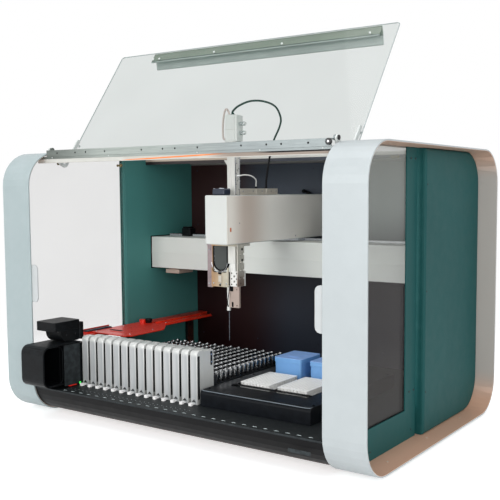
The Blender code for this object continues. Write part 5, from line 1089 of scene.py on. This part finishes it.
def build_cables():
    """The cable and the tube loop, swept along fixed routes."""
    cable = (
        (20, -77.5, 763.1), (20, -77, 771), (22.5, -56, 786), (27, -12, 801),
        (30, 42, 804.5), (32.5, 90, 795), (34.5, 111.5, 768), (35.2, 104.5, 743),
        (35.8, 77, 707), (36.5, 58, 666.5), (36.8, 44, 620), (36.8, 39.7, 596),
        (36.8, 39.5, 583.4),
    )
    loop = (
        (29.7, -72, 614), (35, -71.8, 614.2), (42, -60, 616), (44, -36, 614),
        (42.5, -14, 605), (37.2, -5.8, 593), (36.8, -5.5, 583.4),
    )
    # The last two places are where the bend starts and ends, in metres
    for name, route, radius, finish_name, start, end in (
        ("mast_cable", cable, 2.6, "cable_black", (0, 0, 0.655), (0, 0, 0.760)),
        ("loop_tube", loop, 1.6, "tube_white", (0, -0.0055, 0.5834), (0, -0.0600, 0.6160)),
    ):
        forms = [(sweep, smooth_path(route, 8), radius, 14)]
        item = piece(f"{name}_bent", finish_name, forms, body=None, slot=finish_name)
        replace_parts(item, name)
        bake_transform(item)


# Scanner and red transport


def build_scanner():
    # The body behind the mouth, which closes the gap beside the first rack
    rear = soft_rectangle(-420, -346.8, -256, -232, 3, 3)
    piece("scanner_rear_body", "scanner_black", [(plate, rear, "Z", 80, 188)], 1)
    # The flat panel behind the mouth's black opening
    piece("scanner_flush_panel", "deck_black", [(block, (-346.2, -308, 85), (-345, -256, 189))], 0.4)
    mouth = [(-345.8, *spot) for spot in soft_rectangle(-372, -312.5, 93.5, 189.5, 16.5, 8)]
    piece("scanner_mouth_lip", "scanner_black", [(sweep, mouth, 0.6, 6, True)])
    piece("scanner_led", "led_green", [(block, (-345.6, -260, 83), (-342.8, -256, 88.5))], 0.4)
    piece("scanner_glow", "led_red", [(block, (-360, -285, 80.2), (-353, -260, 81.2))], 0.3)
    seam = soft_rectangle(-425.4, -354.6, -328.9, -242.1, 10, 6)
    piece("scanner_head_seam", "dark_hole", [(plate, seam, "Z", 230.5, 231.1)])
    piece("scanner_head_screws", "steel", [
        (screw, (x, y, 224), DOWN, 1.8, 10) for x in (-418, -362) for y in (-312, -250)
    ])
    # The head plate, its knuckle with a rounded front and the small block behind it
    front = arc(-282, 218, 23, math.pi, QUARTER, 8, 24)
    head = [
        (tile, -424.9, -355.1, -328.4, -242.6, 6, "Z", 224.6, 247.9),
        (plate, [(-305, 225), *front, (-244, 194), (-244, 225)], "X", -416, -360),
        (plate, soft_rectangle(-408, -356, -244.5, -230, 3, 3), "Z", 196, 240),
    ]
    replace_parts(piece("scanner_head_block", "scanner_black", head, 1.2), "scanner_head")
    piece("scanner_knuckle_screws", "arm_black", [
        (screw, (SCANNER_SIDE, y, 212), RIGHT, 1.8, 12) for y in (-286, -256)
    ])


def build_red():
    teeth = [-148.5 + index * 3.1 for index in range(30)]
    piece("red_toothed_strip", "motor_dark", [
        (block, (-449, -149.5, 193), (-430, -56, 194.2)),
        *[(block, (-448, y, 194), (-431, y + 1.6, 196.2)) for y in teeth],
    ])
    piece("red_edge_strip", "transport_red", [(block, (-450, -160, 192.5), (-447.8, -50, 198.5))], 0.4)
    carried = {"body": "red_transport"}
    piece("red_black_slot", "dark_hole", [(tile, -408, -362, -90, -80, 4, "Z", 192.8, 193.6)], **carried)
    knob = [(0, 0), (9.8, 0), (9.8, 3), (11, 5), (11, 10), (9.5, 11.8), (6, 12), (5.2, 9.5), (0, 9.2)]
    piece("red_knob_cap", "cable_black", [(lathe, (-401, 62, RED_TOP), UP, knob, 26)], **carried)
    fixings = ((-420, -126), (-308, -110), (-308, -20), (-420, -20), (-358, 90), (-358, 170), (-358, 250))
    piece("red_screws", "steel", [(screw, (*spot, RED_TOP), UP, 2.4, 12) for spot in fixings], **carried)
    piece("red_bar_ridges", "transport_red", [
        (block, (x, 68, 192.5), (x + 6, 276, 196.5)) for x in (-343, -379)
    ], 0.6, **carried)


# Back


def fan_blade(shape, angle):
    """One twisted blade of the fan behind its guard."""
    radial = Vector((math.cos(angle), 0, math.sin(angle)))
    side = Vector((-math.sin(angle), 0, math.cos(angle)))
    corners = ((12, -6, 0), (35.5, -13, 0), (35.5, 13, 4.5), (12, 6, 4.5))
    spots = [
        Vector(FAN) + radial * reach + side * lead + Vector((0, lift, 0))
        for reach, lead, lift in corners
    ]
    front = [shape.verts.new(spot) for spot in spots]
    rear = [shape.verts.new(spot + Vector((0, -1, 0))) for spot in spots]
    shape.faces.new(front)
    shape.faces.new(rear[::-1])
    for step in range(4):
        after = (step + 1) % 4
        shape.faces.new([front[step], rear[step], rear[after], front[after]])


def build_back():
    hub = [(0, 0), (13, 0), (13, 5), (0, 5.6)]
    piece("fan_blades", "cable_black", [
        (lathe, FAN, BEHIND, hub, 24),
        *[(fan_blade, 4 * QUARTER * index / 7) for index in range(7)],
    ])
    piece("vent_backing", "dark_hole", [
        (block, (-285, 357, 175), (-195, 357.6, 265)),
        *[(block, (x - 85, 363, 425), (x + 85, 363.4, 505)) for x in (-240, 240)],
    ])
    columns = (-440, -220, 0, 220, 440)
    piece("back_screws", "chrome", [
        *[(screw, (x, REAR_FACE, z), BEHIND, 3) for x in columns for z in (95, 575)],
        *[(screw, (x, REAR_FACE, z), BEHIND, 2.6) for x in (-285, -195) for z in (175, 265)],
        *[(screw, (x, 373.6, 140), BEHIND, 1.9, 12) for x in (265, 335)],
    ])
    piece("roof_screws", "chrome", [(screw, (x, y, ROOF), UP, 3) for x in columns for y in (135, 270)])
    piece("cover_seams", "plate_beige", [
        (block, (-455, 230, ROOF), (455, 230.8, 673)),
        *[(block, (-455, 371, z), (455, 371.6, z + 0.8)) for z in (300, 85.5)],
    ])
    # The rocker's plain on and off marks, tilted with its face
    pressed = Matrix.Translation((319, 369.3, 140)) @ Matrix.Rotation(math.radians(8), 4, "X")
    ring = [(x, 3.4, z) for x, z in arc(0, -5, 2, 0, 4 * QUARTER, 16)[:-1]]
    piece("rocker_marks", "light_mark", [
        (block, (-0.6, 3, 3), (0.6, 3.7, 6.6)), (sweep, ring, 0.4, 6, True),
    ], body="switch_rocker", turn=pressed)


# Camera, light and floor


def add_camera():
    """The camera solved from the photograph: focal length and centre in pixels of a square image."""
    pixels, focal, centre_x, centre_y = 500.0, 824.04, 275.02, 257.15
    yaw, pitch, roll = 0.59713, 0.08164, -0.00419
    data = bpy.data.cameras.new("camera")
    data.sensor_width = 36.0
    data.lens = focal * data.sensor_width / pixels
    data.shift_x = -(centre_x - pixels / 2) / pixels
    data.shift_y = (centre_y - pixels / 2) / pixels
    data.clip_start = 0.05
    data.clip_end = 60.0
    forward = Vector((-math.sin(yaw) * math.cos(pitch), math.cos(yaw) * math.cos(pitch), -math.sin(pitch)))
    right = Vector((math.cos(yaw), math.sin(yaw), 0))
    up = right.cross(forward)
    turned_right = right * math.cos(roll) + up * math.sin(roll)
    turned_up = up * math.cos(roll) - right * math.sin(roll)
    rows = Matrix((turned_right, turned_up, -forward)).transposed()
    item = bpy.data.objects.new("camera", data)
    item.matrix_world = Matrix.Translation((1.2506, -1.7062, 0.5794)) @ rows.to_4x4()
    bpy.context.scene.collection.objects.link(item)
    bpy.context.scene.camera = item


def add_light(name, place, size, power, colour=(1, 1, 1)):
    """A square area light that points at the middle of the chamber."""
    data = bpy.data.lights.new(name, "AREA")
    data.shape = "RECTANGLE"
    data.size = data.size_y = size
    data.energy = power
    data.color = colour
    item = bpy.data.objects.new(name, data)
    item.location = place
    bpy.context.scene.collection.objects.link(item)
    item.rotation_euler = (Vector((0, 0, 0.3)) - item.location).to_track_quat("-Z", "Y").to_euler()


def seen_by_camera(f):
    """1 for rays straight from the camera, through glass or off a gloss; 0 for the light they bring."""
    path = f.node("LightPath").outputs
    seen = f.maths("MAXIMUM", path["Is Camera Ray"], path["Is Transmission Ray"])
    return f.maths("MAXIMUM", seen, path["Is Glossy Ray"])


def add_world():
    world = bpy.data.worlds.new("studio")
    bpy.context.scene.world = world
    f = Field(world)
    f.tree.nodes.clear()
    soft = f.node("Background", {"Color": (0.97, 0.98, 1.0, 1.0), "Strength": 0.58})
    white = f.node("Background", {"Color": (1, 1, 1, 1), "Strength": 1.0})
    both = f.node("MixShader", {0: seen_by_camera(f), 1: soft.outputs[0], 2: white.outputs[0]})
    f.node("OutputWorld", {"Surface": both.outputs[0]})


def add_floor():
    """A pale floor that turns to plain white away from the analyzer."""
    half = 14.0
    corners = [(-half, -half, 0), (half, -half, 0), (half, half, 0), (-half, half, 0)]
    mesh = bpy.data.meshes.new("floor")
    mesh.from_pydata(corners, [], [(0, 1, 2, 3)])
    item = bpy.data.objects.new("floor", mesh)
    bpy.context.scene.collection.objects.link(item)
    made = bpy.data.materials.new("floor_pale")
    made.use_nodes = True
    made.node_tree.nodes.clear()
    f = Field(made)
    tone = f.mix(f.spread(f.noise(2.0)), (0.82, 0.82, 0.82, 1), (0.80, 0.80, 0.80, 1))
    plain = f.node("BsdfDiffuse", {"Color": tone})
    lifted = f.node("Emission", {"Color": (1, 1, 1, 1), "Strength": 0.60})
    near = f.node("AddShader", {0: plain.outputs[0], 1: lifted.outputs[0]})
    far = f.node("Emission", {"Color": (1, 1, 1, 1), "Strength": 1.0})
    reach = f.node("VectorMath", {0: f.where}, operation="LENGTH").outputs["Value"]
    pale = f.node("MixShader", {0: f.ramp(reach, 0.95, 1.7), 1: near.outputs[0], 2: far.outputs[0]})
    both = f.node("MixShader", {0: seen_by_camera(f), 1: plain.outputs[0], 2: pale.outputs[0]})
    f.node("OutputMaterial", {"Surface": both.outputs[0]})
    mesh.materials.append(made)


def add_studio():
    add_world()
    add_floor()
    add_light("key", (-0.9, -4.2, 1.5), 2.6, 68, (1.0, 1.0, 0.99))
    add_light("fill", (3.6, -3.2, 1.3), 2.4, 88, (1.0, 0.995, 0.985))
    add_light("top", (0.0, -0.6, 3.2), 2.0, 30)


def main():
    make_materials()
    dress_nodes()
    add_camera()
    build_racks()
    build_plates()
    build_base()
    build_sides()
    build_lid()
    build_beam()
    build_arm()
    build_mast()
    build_bracket()
    build_needle_head()
    build_cables()
    build_scanner()
    build_red()
    build_back()
    add_studio()
    bpy.context.scene.view_settings.view_transform = "Standard"


main()
